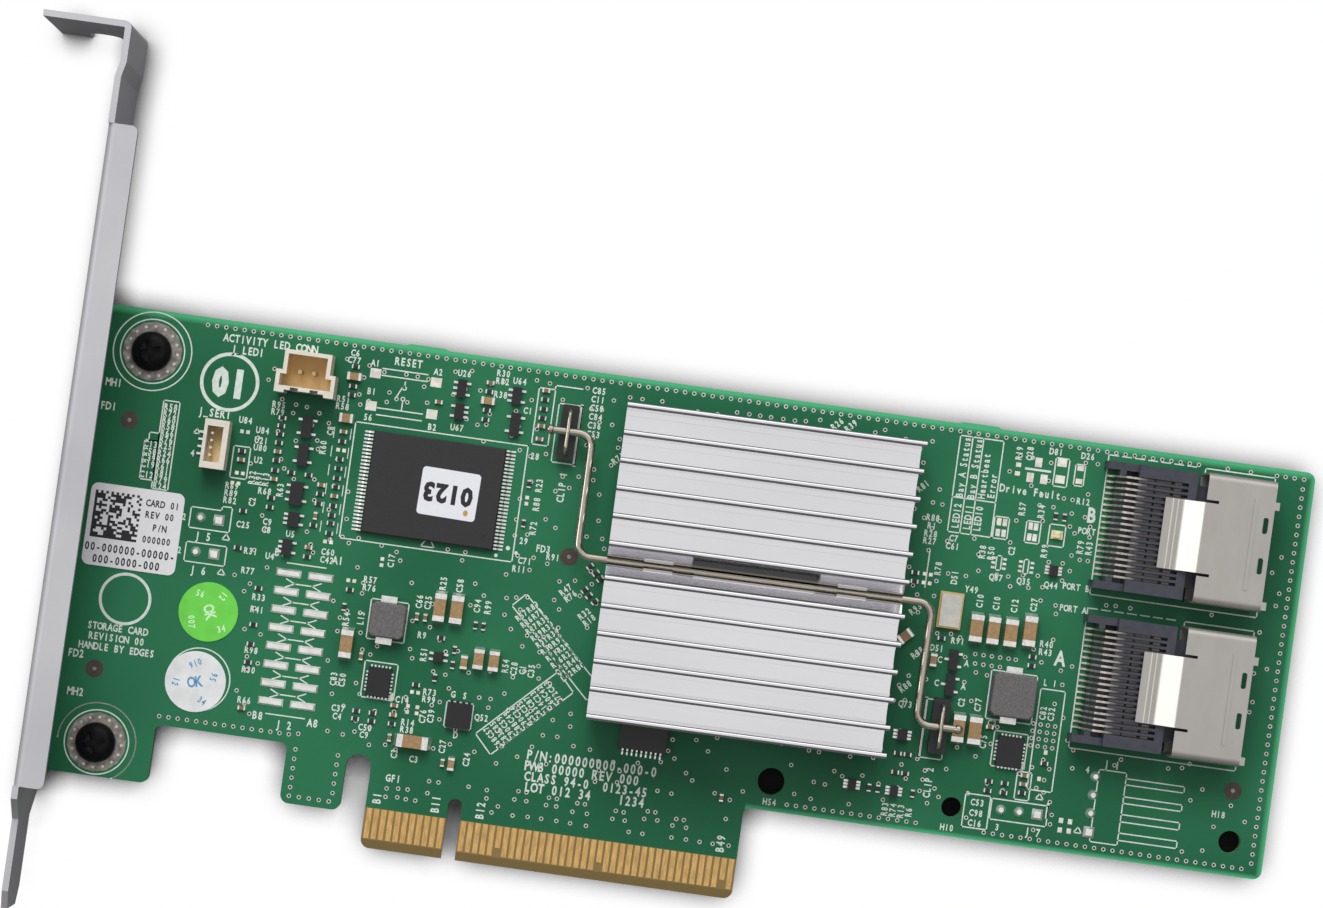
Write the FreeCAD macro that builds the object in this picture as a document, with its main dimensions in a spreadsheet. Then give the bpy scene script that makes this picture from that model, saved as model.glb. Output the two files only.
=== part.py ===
import FreeCAD, Part
import Sketcher
import math
import os
import re

# A storage controller card for a server: board, bracket, heatsink and two internal ports.
# Millimetres. X runs along the card away from the bracket, Y up the card, Z out of the
# component side. The origin is on the centre line of the edge connector's key notch, at the
# connector's lower edge, on the component side's face.

document = FreeCAD.newDocument("controller_card")
sheet = document.addObject("Spreadsheet::Sheet", "Sizes")

SIZES = [
    # Board and edge connector
    ("board_thick", 1.57), ("board_left", -56.65), ("board_right", 110.5),
    ("board_top", 68.9), ("lower_edge", 12.7), ("leg_bottom", 4.55),
    ("leg_right", -42.1), ("hook_left", -23.9), ("hook_right", -15.6),
    ("tongue_left", -12.15), ("tongue_right", 39.15), ("slot_top", 12.55),
    ("key_half", 0.95), ("key_top", 8.35), ("corner_round", 1.2), ("inner_round", 0.9),
    ("bevel_high", 1.2), ("bevel_deep", 0.45), ("swell_long", 6.0), ("swell_high", 0.25),
    ("contact_pitch", 1.0), ("contact_wide", 0.7), ("contact_low", 1.35),
    ("contact_short", 2.5), ("contact_high", 5.5), ("contact_thick", 0.05),
    ("near_contacts", 11), ("far_contacts", 38), ("first_contact", 1.5),
    # Bracket
    ("steel_thick", 0.86), ("plate_inner", -57.4), ("bracket_far", -3.82),
    ("bracket_wide", 18.42), ("bracket_top", 106.0), ("tongue_low", -14.0),
    ("tongue_wide", 10.19), ("plate_low", 1.2), ("joggle_y", 99.5), ("joggle", 0.45),
    ("lip_low", 2.9), ("lip_high", 92.2), ("lip_wide", 4.1), ("tab_end", -68.9),
    ("notch_wide", 4.42), ("notch_start", -64.5), ("notch_deep", 5.6), ("bend", 0.9),
    ("fold_round", 0.4),
    ("ear_wide", 8.6), ("ear_end", -45.4),
    ("fix_x", -49.9), ("fix_high", 63.15), ("fix_low", 9.15), ("fix_hole", 1.6),
    ("head_wide", 5.5), ("head_high", 1.9), ("screw_thread", 2.9), ("screw_long", 3.2),
    # Heatsink and its wire clip
    ("sink_x", 36.05), ("sink_y", 43.8), ("sink_turn", 0.45), ("sink_long", 40.4),
    ("sink_wide", 42.8), ("sink_low", 2.5), ("sink_base", 4.4), ("fin_top", 13.5),
    ("fin_edge", 0.4), ("fin_first", 2.33), ("fin_root", 0.95), ("fin_tip", 0.78),
    ("fin_foot", 1.15), ("fin_bead", 0.14),
    ("fins_each_side", 6),
    ("shoulder_high", 7.6), ("shoulder_low", 6.5), ("groove_half", 0.72),
    ("groove_floor", 4.9), ("swage_long", 4.0), ("swage_x", 13.2), ("swage_wide", 0.28),
    ("mill_long", 17.4), ("mill_north", 1.5), ("mill_south", 0.9), ("mill_floor", 4.7),
    ("wire", 1.1), ("wire_ball", 1.36), ("arm_share", 0.539), ("wire_hook", 16.6),
    ("wire_end", 2.25), ("wire_bend", 1.9), ("wire_low", 3.6),
    ("anchor_wide", 2.35), ("anchor_long", 7.6), ("anchor_high", 2.0), ("anchor_x", 27.9),
    ("anchor_y", 16.3), ("hoop", 0.55), ("hoop_half", 2.9), ("hoop_high", 4.6),
    # Chips under and beside the heatsink
    ("chip_wide", 25.0), ("chip_board", 1.0), ("lid_wide", 22.5), ("chip_high", 2.2),
    ("pad_wide", 20.0),
    ("flash_x", -8.95), ("flash_y", 49.7), ("flash_long", 18.3), ("flash_wide", 14.0),
    ("flash_high", 1.1), ("flash_gap", 0.1), ("flash_pitch", 0.5), ("flash_lead", 0.25),
    ("flash_reach", 1.3), ("flash_leads", 28), ("flash_dimple", 0.35),
    ("tag_wide", 8.05), ("tag_high", 6.55), ("tag_turn", -1.2),
    # Internal ports
    ("port_a", 57.85), ("port_b", 36.75), ("port_x", 83.2), ("port_wide", 17.4),
    ("deck_long", 2.5), ("deck_high", 1.6), ("block_long", 8.0), ("block_high", 6.3),
    ("nose_long", 5.7), ("nose_wide", 14.0), ("nose_low", 2.0), ("nose_step", 1.5),
    ("nose_slot", 1.4), ("ways", 18), ("way_pitch", 0.8), ("way_wide", 0.28),
    ("comb_long", 6.8), ("comb_slot", 0.42), ("run_high", 4.9), ("way_thick", 0.2),
    ("foot_long", 0.85), ("wall_back", 1.6), ("wall_thick", 1.05), ("wall_high", 5.2),
    ("post_long", 0.65), ("rib_long", 12.4),
    ("shell_gap", 1.2), ("shell_long", 9.3), ("shell_side", 0.2), ("shell_rise", 1.7),
    ("shell_thick", 0.3), ("shell_round", 1.0), ("latch_wide", 9.6), ("latch_flat", 2.4),
    ("ramp_long", 2.9), ("latch_gap", 0.05), ("relief", 0.4), ("relief_long", 1.7),
    ("window_inset", 1.0), ("window_y", 2.75), ("window_long", 2.2), ("window_wide", 0.75),
    # Headers
    ("lamp_x", -28.05), ("lamp_y", 60.0), ("lamp_wide", 8.1), ("lamp_top_wide", 6.45),
    ("lamp_deep", 3.1), ("lamp_top_deep", 2.8), ("lamp_high", 6.0), ("lamp_foot", 1.35),
    ("lamp_step", 0.4), ("lamp_wall", 0.55), ("lamp_floor", 1.2), ("key_apart", 1.35),
    ("key_wide", 1.1), ("lamp_pitch", 1.9),
    ("serial_x", -40.85), ("serial_y", 51.75), ("serial_wide", 3.35),
    ("serial_long", 6.7), ("serial_high", 4.25), ("serial_pitch", 1.0),
    # Parts soldered flat on the board
    ("coil_wide", 4.8), ("coil_high", 3.0), ("coil_big", 6.0), ("coil_big_high", 3.5),
    ("term_wide", 2.2), ("term_long", 0.9), ("term_high", 1.6),
    ("quad_high", 0.9), ("quad_pitch", 0.5), ("quad_pads", 6), ("logic_x", 24.2),
    ("logic_y", 20.6), ("logic_wide", 6.4), ("logic_long", 4.3), ("logic_pitch", 0.65),
    ("logic_leads", 9), ("clock_wide", 3.3), ("clock_long", 5.0), ("clock_high", 1.2),
    ("power_wide", 3.25), ("power_long", 3.5), ("power_high", 1.0),
    ("chip_long", 1.0), ("chip_deep", 0.5), ("resistor_high", 0.35),
    ("capacitor_high", 0.5), ("large_high", 1.7), ("sot_high", 1.0),
    ("sticker_thick", 0.12), ("green_radius", 4.07), ("white_radius", 4.17),
    ("label_x", -48.95), ("label_y", 38.75), ("label_wide", 12.9), ("label_high", 11.3),
    ("pad_pitch", 2.54), ("pad_rows", 8), ("pad_first", 35.75), ("pad_left", -27.02),
    ("pad_right", -22.58), ("pad_long", 3.5), ("pad_deep", 1.1), ("pad_high", 0.3),
]

NAMES = {name for name, value in SIZES}
for row, (name, value) in enumerate(SIZES, 1):
    sheet.set("A%d" % row, name)
    sheet.set("B%d" % row, str(value))
    sheet.setAlias("B%d" % row, name)
document.recompute()

made = []


# Expressions: words that are names in the sheet become references to its cells.
def cell(text):
    def refer(word):
        return "Sizes." + word.group() if word.group() in NAMES else word.group()
    return re.sub(r"[a-z_]\w*", refer, str(text))


def number(text):
    value = sheet.evalExpression(cell(text))
    return float(getattr(value, "Value", value))


def vector(x, y, z=0):
    return FreeCAD.Vector(number(x), number(y), number(z))


def place(thing, x=0, y=0, z=0, turn=0):
    thing.Placement = FreeCAD.Placement(vector(x, y, z), FreeCAD.Rotation(FreeCAD.Vector(0, 0, 1), number(turn)))


def bind(thing, **sizes):
    for name, text in sizes.items():
        thing.setExpression(name, cell(text))


def bind_base(thing, x, y, z):
    for axis, text in zip("xyz", (x, y, z)):
        thing.setExpression("Placement.Base." + axis, cell(text))


def new_body(label):
    body = document.addObject("PartDesign::Body", label)
    made.append(body)
    return body


def origin_feature(body, role):
    return [item for item in body.Origin.OriginFeatures if item.Role == role][0]


# A closed outline in a sketch. Each corner is (x, y) or (x, y, radius) in sheet expressions.
# Rounded corners keep their corner as a construction point that both sides pass through.
def draw_outline(sketch, corners):
    points = [vector(corner[0], corner[1]) for corner in corners]
    radii = [number(corner[2]) if len(corner) > 2 else 0 for corner in corners]
    count = len(points)
    starts, ends, centres = [], [], []
    for i in range(count):
        before = (points[i - 1] - points[i]).normalize()
        after = (points[(i + 1) % count] - points[i]).normalize()
        half = before.getAngle(after) / 2
        reach = radii[i] / math.tan(half) if radii[i] else 0
        ends.append(points[i] + before * reach)
        starts.append(points[i] + after * reach)
        middle = before + after
        if radii[i]:
            centres.append(points[i] + middle.normalize() * (radii[i] / math.sin(half)))
        else:
            centres.append(None)
    lines = []
    for i in range(count):
        lines.append(sketch.addGeometry(Part.LineSegment(starts[i], ends[(i + 1) % count]), False))
    for i in range(count):
        into, out = lines[i - 1], lines[i]
        if radii[i]:
            bow = (points[i] - centres[i]).normalize() * radii[i]
            arc = Part.Arc(ends[i], centres[i] + bow, starts[i])
            curve = sketch.addGeometry(arc, False)
            turns_left = (points[i] - points[i - 1]).cross(points[(i + 1) % count] - points[i]).z > 0
            first, last = (1, 2) if turns_left else (2, 1)
            corner = sketch.addGeometry(Part.Point(points[i]), True)
            sketch.addConstraint(Sketcher.Constraint("Tangent", into, 2, curve, first))
            sketch.addConstraint(Sketcher.Constraint("Tangent", curve, last, out, 1))
            sketch.addConstraint(Sketcher.Constraint("PointOnObject", corner, 1, into))
            sketch.addConstraint(Sketcher.Constraint("PointOnObject", corner, 1, out))
            size = sketch.addConstraint(Sketcher.Constraint("Radius", curve, radii[i]))
            sketch.setExpression("Constraints[%d]" % size, cell(corners[i][2]))
            fixed = corner
        else:
            sketch.addConstraint(Sketcher.Constraint("Coincident", into, 2, out, 1))
            fixed = out
        for axis, text, at in (("DistanceX", corners[i][0], points[i].x), ("DistanceY", corners[i][1], points[i].y)):
            size = sketch.addConstraint(Sketcher.Constraint(axis, -1, 1, fixed, 1, at))
            sketch.setExpression("Constraints[%d]" % size, cell(text))


def draw_circle(sketch, x, y, radius):
    circle = Part.Circle(vector(x, y), FreeCAD.Vector(0, 0, 1), number(radius))
    ring = sketch.addGeometry(circle, False)
    for axis, text in (("DistanceX", x), ("DistanceY", y)):
        size = sketch.addConstraint(Sketcher.Constraint(axis, -1, 1, ring, 3, number(text)))
        sketch.setExpression("Constraints[%d]" % size, cell(text))
    size = sketch.addConstraint(Sketcher.Constraint("Radius", ring, number(radius)))
    sketch.setExpression("Constraints[%d]" % size, cell(radius))


def new_sketch(body, name, role, level=0):
    sketch = body.newObject("Sketcher::SketchObject", name)
    sketch.AttachmentSupport = (origin_feature(body, role), [""])
    sketch.MapMode = "FlatFace"
    sketch.setExpression("AttachmentOffset.Base.z", cell(level))
    return sketch


# A pad runs along its plane's normal, or against it, or both ways.
def pad(body, sketch, length, way="up"):
    feature = body.newObject("PartDesign::Pad", sketch.Label + "_pad")
    feature.Profile = sketch
    bind(feature, Length=length)
    feature.Reversed = way == "down"
    feature.Midplane = way == "both"
    sketch.Visibility = False
    return feature


def pocket(body, sketch, length, way="down"):
    feature = body.newObject("PartDesign::Pocket", sketch.Label + "_pocket")
    feature.Profile = sketch
    bind(feature, Length=length)
    feature.Reversed = way == "up"
    feature.Midplane = way == "both"
    sketch.Visibility = False
    return feature


# Box features inside a body, from one corner with three sizes.
def block(body, name, kind, x, y, z, length, width, height):
    feature = body.newObject("PartDesign::%sBox" % kind, name)
    bind(feature, Length=length, Width=width, Height=height)
    bind_base(feature, x, y, z)
    return feature


# A row of copies along one of the body's axes, each copy a step further on.
def pattern(body, feature, name, axis, step, count):
    row = body.newObject("PartDesign::LinearPattern", name)
    row.Originals = [feature]
    row.Direction = (origin_feature(body, axis), [""])
    row.Mode = "Spacing"
    row.Reversed = step.startswith("-")
    bind(row, Offset=step.lstrip("-"), Occurrences=count)
    body.Tip = row
    return row


def picked_edges(shape, test):
    return ["Edge%d" % (i + 1) for i, edge in enumerate(shape.Edges) if test(edge.BoundBox)]


def dress(body, kind, name, edges, size):
    base = body.Tip
    feature = body.newObject("PartDesign::" + kind, name)
    feature.Base = (base, edges)
    bind(feature, **{"Radius" if kind == "Fillet" else "Size": size})
    return feature


# Many small solids of one kind share a node.
def group(label, solids, x=0, y=0, z=0, turn=0):
    feature = document.addObject("Part::Feature", label)
    feature.Shape = Part.makeCompound(solids)
    place(feature, x, y, z, turn)
    made.append(feature)
    return feature


def brick(x, y, z, length, width, height, turn=0):
    solid = Part.makeBox(length, width, height, FreeCAD.Vector(-length / 2, -width / 2, 0))
    solid.Placement = FreeCAD.Placement(FreeCAD.Vector(x, y, z), FreeCAD.Rotation(FreeCAD.Vector(0, 0, 1), turn))
    return solid


def polygon_solid(points, push):
    return Part.Face(Part.makePolygon(points + points[:1])).extrude(push)


# A bent wire: straight runs joined by tangent arcs, with a round section.
def bent_wire(points, radius, bend):
    runs = []
    start = points[0]
    for i in range(1, len(points) - 1):
        before = (points[i - 1] - points[i]).normalize()
        after = (points[i + 1] - points[i]).normalize()
        half = before.getAngle(after) / 2
        reach = bend / math.tan(half)
        enter = points[i] + before * reach
        section = Part.Face(Part.Wire(Part.makeCircle(radius, start, before * -1)))
        runs.append(section.extrude(enter - start))
        middle = (before + after).normalize()
        centre = points[i] + middle * (bend / math.sin(half))
        section = Part.Face(Part.Wire(Part.makeCircle(radius, enter, before * -1)))
        axis = after.cross(before * -1).normalize() * -1
        runs.append(section.revolve(centre, axis, 180 - math.degrees(2 * half)))
        start = points[i] + after * reach
    last = points[-1] - start
    section = Part.Face(Part.Wire(Part.makeCircle(radius, start, last)))
    runs.append(section.extrude(last))
    return runs[0].fuse(runs[1:])


# Board: laminate with a stepped lower edge, the keyed and bevelled edge connector, two
# breakaway swells on the top edge and the plain holes.
def circuit_board():
    body = new_body("circuit_board")
    outline = new_sketch(body, "board_outline", "XY_Plane")
    corners = [
        ("board_left", "leg_bottom", "corner_round"),
        ("leg_right", "leg_bottom", "corner_round"),
        ("leg_right", "lower_edge", "inner_round"),
        ("hook_left", "lower_edge", "inner_round"),
        ("hook_left", "leg_bottom", "corner_round"),
        ("hook_right", "leg_bottom", "corner_round"),
        ("hook_right", "slot_top", "(tongue_left - hook_right) * 0.48"),
        ("tongue_left", "slot_top", "(tongue_left - hook_right) * 0.48"),
        ("tongue_left", "0", "corner_round"),
        ("-key_half", "0"),
        ("-key_half", "key_top", "key_half * 0.95"),
        ("key_half", "key_top", "key_half * 0.95"),
        ("key_half", "0"),
        ("tongue_right", "0", "corner_round"),
        ("tongue_right", "lower_edge", "inner_round"),
        ("board_right", "lower_edge", "corner_round"),
        ("board_right", "board_top", "corner_round"),
    ]
    for centre in ("64", "-12.5"):
        for side, lift in (("+", "0"), ("+", "swell_high"), ("-", "swell_high"), ("-", "0")):
            inset = "swell_long / 2" if lift == "0" else "swell_long * 0.4"
            corners.append(("%s %s %s" % (centre, side, inset), "board_top + " + lift))
    corners.append(("board_left", "board_top", "corner_round"))
    draw_outline(outline, corners)
    for x, y, radius in (("67.25", "16.7", "1.375"), ("42.35", "16.75", "1.85"), ("105.6", "17.3", "1.525"),
                         ("fix_x", "fix_high", "fix_hole"), ("fix_x", "fix_low", "fix_hole")):
        draw_circle(outline, x, y, radius)
    pad(body, outline, "board_thick", "down")
    # The connector's two lower edges are cut back so that the card slides into its slot.
    for name, face, inward in (("front_bevel", "0", "-bevel_deep"), ("back_bevel", "-board_thick", "bevel_deep")):
        bevel = new_sketch(body, name, "YZ_Plane", "(tongue_left + tongue_right) / 2")
        draw_outline(bevel, [("-1", face), ("bevel_high", face), ("0", face + " + " + inward),
                             ("-1", face + " + " + inward)])
        pocket(body, bevel, "tongue_right - tongue_left + 1", "both")
    return body


# Gold contacts on one face: eleven before the key notch and thirty-eight after it. Three
# presence contacts are shorter, so that they touch last.
def edge_contacts(label, level):
    solids = []
    short_places = (6.5, 20.5, 37.5)
    places = [-number("first_contact") - i * number("contact_pitch") for i in range(int(number("near_contacts")))]
    places += [number("first_contact") + i * number("contact_pitch") for i in range(int(number("far_contacts")))]
    for x in places:
        low = number("contact_short") if x in short_places else number("contact_low")
        high = number("contact_high")
        solids.append(brick(x, (low + high) / 2, level, number("contact_wide"), high - low, number("contact_thick")))
    return group(label, solids)


# Bracket: one folded steel sheet. Plate and top tab are one profile, joggled near the top;
# the tongue tapers below, a lip stiffens the near edge, and two ears lie behind the board.
def mounting_bracket():
    body = new_body("mounting_bracket")
    profile = new_sketch(body, "plate_profile", "XY_Plane", "bracket_far")
    outer = "plate_inner - steel_thick"
    tab_low = "bracket_top - steel_thick"
    draw_outline(profile, [
        (outer, "tongue_low"), ("plate_inner", "tongue_low"),
        ("plate_inner", "joggle_y - 1"), ("plate_inner + joggle", "joggle_y + 1"),
        ("plate_inner + joggle", "bracket_top", "bend"), ("tab_end", "bracket_top"), ("tab_end", tab_low),
        (outer + " + joggle", tab_low, "0.2"), (outer + " + joggle", "joggle_y + 1"),
        (outer, "joggle_y - 1")])
    pad(body, profile, "bracket_wide")
    # Both sides of the tongue are cut away below the plate's tapered shoulders.
    middle = "bracket_far + bracket_wide / 2"
    for name, side, edge in (("far_shoulder", "-", "bracket_far - 1"),
                             ("near_shoulder", "+", "bracket_far + bracket_wide + 1")):
        cut = new_sketch(body, name, "YZ_Plane", "plate_inner - steel_thick / 2")
        draw_outline(cut, [
            ("tongue_low - 1", edge), ("plate_low", edge),
            ("plate_low", "%s %s bracket_wide / 2" % (middle, side)),
            ("plate_low - 3", "%s %s tongue_wide / 2" % (middle, side)),
            ("tongue_low + 2.5", "%s %s tongue_wide / 2" % (middle, side)),
            ("tongue_low", "%s %s (tongue_wide / 2 - 1.6)" % (middle, side)),
            ("tongue_low - 1", "%s %s (tongue_wide / 2 - 1.6)" % (middle, side))])
        pocket(body, cut, "steel_thick * 4", "both")
    lip = new_sketch(body, "lip_outline", "XY_Plane", "bracket_far + bracket_wide - steel_thick")
    draw_outline(lip, [
        (outer, "lip_low"), (outer + " + lip_wide", "lip_low", "0.9"),
        (outer + " + lip_wide", "lip_high", "0.9"), (outer, "lip_high")])
    pad(body, lip, "steel_thick")
    notch = new_sketch(body, "screw_notch", "XZ_Plane", "-(bracket_top + 1)")
    draw_outline(notch, [
        ("notch_start", "bracket_far - 1"), ("notch_start + notch_wide", "bracket_far - 1"),
        ("notch_start + notch_wide", "bracket_far + notch_deep", "notch_wide * 0.47"),
        ("notch_start", "bracket_far + notch_deep", "notch_wide * 0.47")])
    pocket(body, notch, "6", "both")
    # Ears with threaded holes carry the board.
    for name, y in (("high_ear", "fix_high"), ("low_ear", "fix_low")):
        ear = new_sketch(body, name, "XY_Plane", "-board_thick - steel_thick")
        draw_outline(ear, [
            ("plate_inner - 0.2", y + " - ear_wide / 2"), ("ear_end", y + " - ear_wide / 2", "ear_wide * 0.4"),
            ("ear_end", y + " + ear_wide / 2", "ear_wide * 0.4"), ("plate_inner - 0.2", y + " + ear_wide / 2")])
        draw_circle(ear, "fix_x", y, "screw_thread / 2")
        pad(body, ear, "steel_thick")
    # The lip's fold, rounded outside and inside about one centre.
    near, under = "(bracket_far + bracket_wide)", "(bracket_far + bracket_wide - steel_thick)"
    turn = "(steel_thick + fold_round)"
    outside = new_sketch(body, "fold_outside", "XZ_Plane", "-(lip_low + lip_high) / 2")
    draw_outline(outside, [
        (outer + " - 1", near + " + 1"), (outer + " - 1", "%s - %s - 0.05" % (near, turn)),
        (outer, "%s - %s - 0.05" % (near, turn)), (outer, near, turn),
        ("%s + %s + 0.05" % (outer, turn), near), ("%s + %s + 0.05" % (outer, turn), near + " + 1")])
    pocket(body, outside, "lip_high - lip_low", "both")
    inside = new_sketch(body, "fold_inside", "XZ_Plane", "-(lip_low + lip_high) / 2")
    draw_outline(inside, [
        ("plate_inner - 0.2", under + " + 0.2"), ("plate_inner - 0.2", under + " - fold_round - 0.05"),
        ("plate_inner", under + " - fold_round - 0.05"), ("plate_inner", under, "fold_round"),
        ("plate_inner + fold_round + 0.05", under), ("plate_inner + fold_round + 0.05", under + " + 0.2")])
    pad(body, inside, "lip_high - lip_low", "both")
    return body


# Two pan-head screws with crossed recesses, through the board into the bracket's ears.
def bracket_screws():
    solids = []
    radius, high, stem = number("head_wide / 2"), number("head_high"), number("screw_thread / 2")
    for y in ("fix_high", "fix_low"):
        flat = Part.makeLine(FreeCAD.Vector(0, 0, high), FreeCAD.Vector(radius * 0.5, 0, high))
        crown = Part.Arc(FreeCAD.Vector(radius * 0.5, 0, high), FreeCAD.Vector(radius * 0.86, 0, high * 0.72),
                         FreeCAD.Vector(radius, 0, high * 0.35)).toShape()
        down = [(radius, 0.0), (stem, 0.0), (stem, -number("screw_long")), (0.0, -number("screw_long")), (0.0, high)]
        points = [FreeCAD.Vector(radius, 0, high * 0.35)] + [FreeCAD.Vector(x, 0, z) for x, z in down]
        rest = [Part.makeLine(a, b) for a, b in zip(points, points[1:])]
        screw = Part.Face(Part.Wire([flat, crown] + rest)).revolve(FreeCAD.Vector(), FreeCAD.Vector(0, 0, 1), 360)
        for turn in (0, 90):
            screw = screw.cut(brick(0, 0, high * 0.45, radius * 1.1, 0.75, high, turn + 20))
        screw.translate(vector("fix_x", y))
        solids.append(screw)
    return group("bracket_screws", solids)


# Heatsink: an aluminium extrusion with twelve fins and a grooved channel for the clip. The
# channel is milled wider at its middle, and its edges are swaged over the wire at two places.
def heatsink():
    body = new_body("heatsink")
    base = new_sketch(body, "sink_base_profile", "YZ_Plane")
    half = [
        ("sink_wide / 2", "sink_low"), ("sink_wide / 2", "sink_base"), ("fin_first", "sink_base"),
        ("fin_first", "shoulder_high"), ("groove_half", "shoulder_low"),
        ("groove_half", "groove_floor", "groove_half * 0.7")]
    draw_outline(base, half + [("-(%s)" % corner[0],) + corner[1:] for corner in reversed(half)])
    pad(body, base, "sink_long", "both")
    # Each side's fins are one fin repeated out to the base's edge. A fin is round at its tip,
    # flares into the base, and has a small bead at the foot of its lower flare.
    step = "(sink_wide / 2 - fin_first - fin_edge) / (fins_each_side - 1)"
    for name, sign in (("north", ""), ("south", "-")):
        fin = new_sketch(body, name + "_fin_profile", "YZ_Plane")
        middle = sign + "fin_first"
        draw_outline(fin, [
            (middle + " - fin_foot - 0.3", "sink_base - 0.2"), (middle + " - fin_foot - 0.3", "sink_base"),
            (middle + " - fin_foot - 0.1", "sink_base + fin_bead"), (middle + " - fin_foot", "sink_base + 0.02"),
            (middle + " - fin_root / 2 - 0.25", "sink_base + 0.35"), (middle + " - fin_root / 2", "sink_base + 1"),
            (middle + " - fin_tip / 2", "fin_top", "fin_tip * 0.45"),
            (middle + " + fin_tip / 2", "fin_top", "fin_tip * 0.45"),
            (middle + " + fin_root / 2", "sink_base + 1"), (middle + " + fin_root / 2 + 0.25", "sink_base + 0.35"),
            (middle + " + fin_foot", "sink_base"), (middle + " + fin_foot", "sink_base - 0.2")])
        first = pad(body, fin, "sink_long", "both")
        pattern(body, first, name + "_fins", "Y_Axis", sign + step, "fins_each_side")
    for name, y in (("north", "sink_wide / 2"), ("south", "-sink_wide / 2 - 2")):
        block(body, name + "_trim", "Subtractive", "-sink_long / 2 - 1", y, "0", "sink_long + 2", "2", "fin_top + 1")
    mill = new_sketch(body, "mill_outline", "XY_Plane", "fin_top")
    draw_outline(mill, [
        ("-mill_long / 2", "-mill_south", "0.8"), ("mill_long / 2", "-mill_south", "0.8"),
        ("mill_long / 2", "mill_north", "0.8"), ("-mill_long / 2", "mill_north", "0.8")])
    pocket(body, mill, "fin_top - mill_floor")
    for name, x in (("left", "-swage_x - swage_long / 2"), ("right", "swage_x - swage_long / 2")):
        block(body, name + "_north_swage", "Additive", x, "groove_half - swage_wide", "groove_floor + wire + 0.05",
              "swage_long", "1.3", "0.55")
        block(body, name + "_south_swage", "Additive", x, "-groove_half + swage_wide - 1.3",
              "groove_floor + wire + 0.05", "swage_long", "1.3", "0.55")
    place(body, "sink_x", "sink_y", 0, "sink_turn")
    return body


# Clip: one spring-steel wire with balled ends, lying in the groove. Its arms stand between
# the heatsink's ends and the anchors, and drop to hooks under the anchors' hoops.
def heatsink_clip():
    high = "groove_floor + wire / 2"
    arm = "(sink_long / 2 + (anchor_x - sink_long / 2) * arm_share)"
    end = "(anchor_x + wire_end)"
    route = [
        vector("-" + end, "wire_hook", "wire_low"), vector("-" + arm, "wire_hook", "wire_low"),
        vector("-" + arm, "0", high), vector(arm, "0", high),
        vector(arm, "-wire_hook", "wire_low"), vector(end, "-wire_hook", "wire_low")]
    wire = bent_wire(route, number("wire / 2"), number("wire_bend"))
    balls = [Part.makeSphere(number("wire_ball / 2"), end) for end in (route[0], route[-1])]
    return group("heatsink_clip", [wire.fuse(balls)], "sink_x", "sink_y", 0, "sink_turn")


# Anchors: a black moulded foot soldered to the board at each hook.
def clip_anchor(label, side):
    body = new_body(label)
    foot = new_sketch(body, label + "_outline", "XY_Plane")
    draw_outline(foot, [
        ("-anchor_wide / 2", "-anchor_long / 2", "0.4"), ("anchor_wide / 2", "-anchor_long / 2", "0.4"),
        ("anchor_wide / 2", "anchor_long / 2", "0.4"), ("-anchor_wide / 2", "anchor_long / 2", "0.4")])
    pad(body, foot, "anchor_high")
    place(body, "sink_x + (%d) * anchor_x" % side, "sink_y - (%d) * anchor_y" % side)
    return body


# Hoops: a thin wire staple standing on each anchor, over the clip's hook.
def anchor_hoop(label, side):
    route = [
        vector(0, "-hoop_half", "anchor_high"), vector(0, "-hoop_half", "hoop_high"),
        vector(0, "hoop_half", "hoop_high"), vector(0, "hoop_half", "anchor_high")]
    wire = bent_wire(route, number("hoop / 2"), number("hoop * 1.8"))
    return group(label, [wire], "sink_x + (%d) * anchor_x" % side, "sink_y - (%d) * anchor_y" % side)


# Controller: a square package set at 45 degrees under the heatsink, with a smaller lid.
def controller_chip():
    body = new_body("controller_chip")
    block(body, "package", "Additive", "-chip_wide / 2", "-chip_wide / 2", "0", "chip_wide", "chip_wide", "chip_board")
    block(body, "lid", "Additive", "-lid_wide / 2", "-lid_wide / 2", "chip_board",
          "lid_wide", "lid_wide", "chip_high - chip_board")
    place(body, "sink_x", "sink_y", 0, 45)
    return body


# Heat-conducting pad between the lid and the heatsink's base.
def thermal_pad():
    soft_pad = document.addObject("Part::Box", "thermal_pad")
    bind(soft_pad, Length="pad_wide", Width="pad_wide", Height="sink_low - chip_high")
    corner = number("pad_wide / 2") * math.sqrt(2)
    place(soft_pad, "sink_x", "sink_y - %f" % corner, "chip_high", 45)
    made.append(soft_pad)
    return soft_pad


# Flash memory: a thin moulded package with leads on its two short sides.
def flash_memory():
    body = new_body("flash_memory_body")
    outline = new_sketch(body, "flash_outline", "XY_Plane", "flash_gap")
    draw_outline(outline, [
        ("-flash_long / 2", "-flash_wide / 2"), ("flash_long / 2", "-flash_wide / 2"),
        ("flash_long / 2", "flash_wide / 2"), ("-flash_long / 2", "flash_wide / 2")])
    pad(body, outline, "flash_high - flash_gap")
    dimple = body.newObject("PartDesign::SubtractiveCylinder", "dimple")
    bind(dimple, Radius="flash_dimple", Height="1")
    bind_base(dimple, "flash_long / 2 - 1.5", "-flash_wide / 2 + 1.5", "flash_high - 0.1")
    document.recompute()
    top = number("flash_high")
    edges = picked_edges(body.Shape, lambda box: box.ZMin > top - 0.01 and max(box.XLength, box.YLength) > 5)
    dress(body, "Chamfer", "mould_draft", edges, "0.18")
    place(body, "flash_x", "flash_y")
    return body


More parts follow.
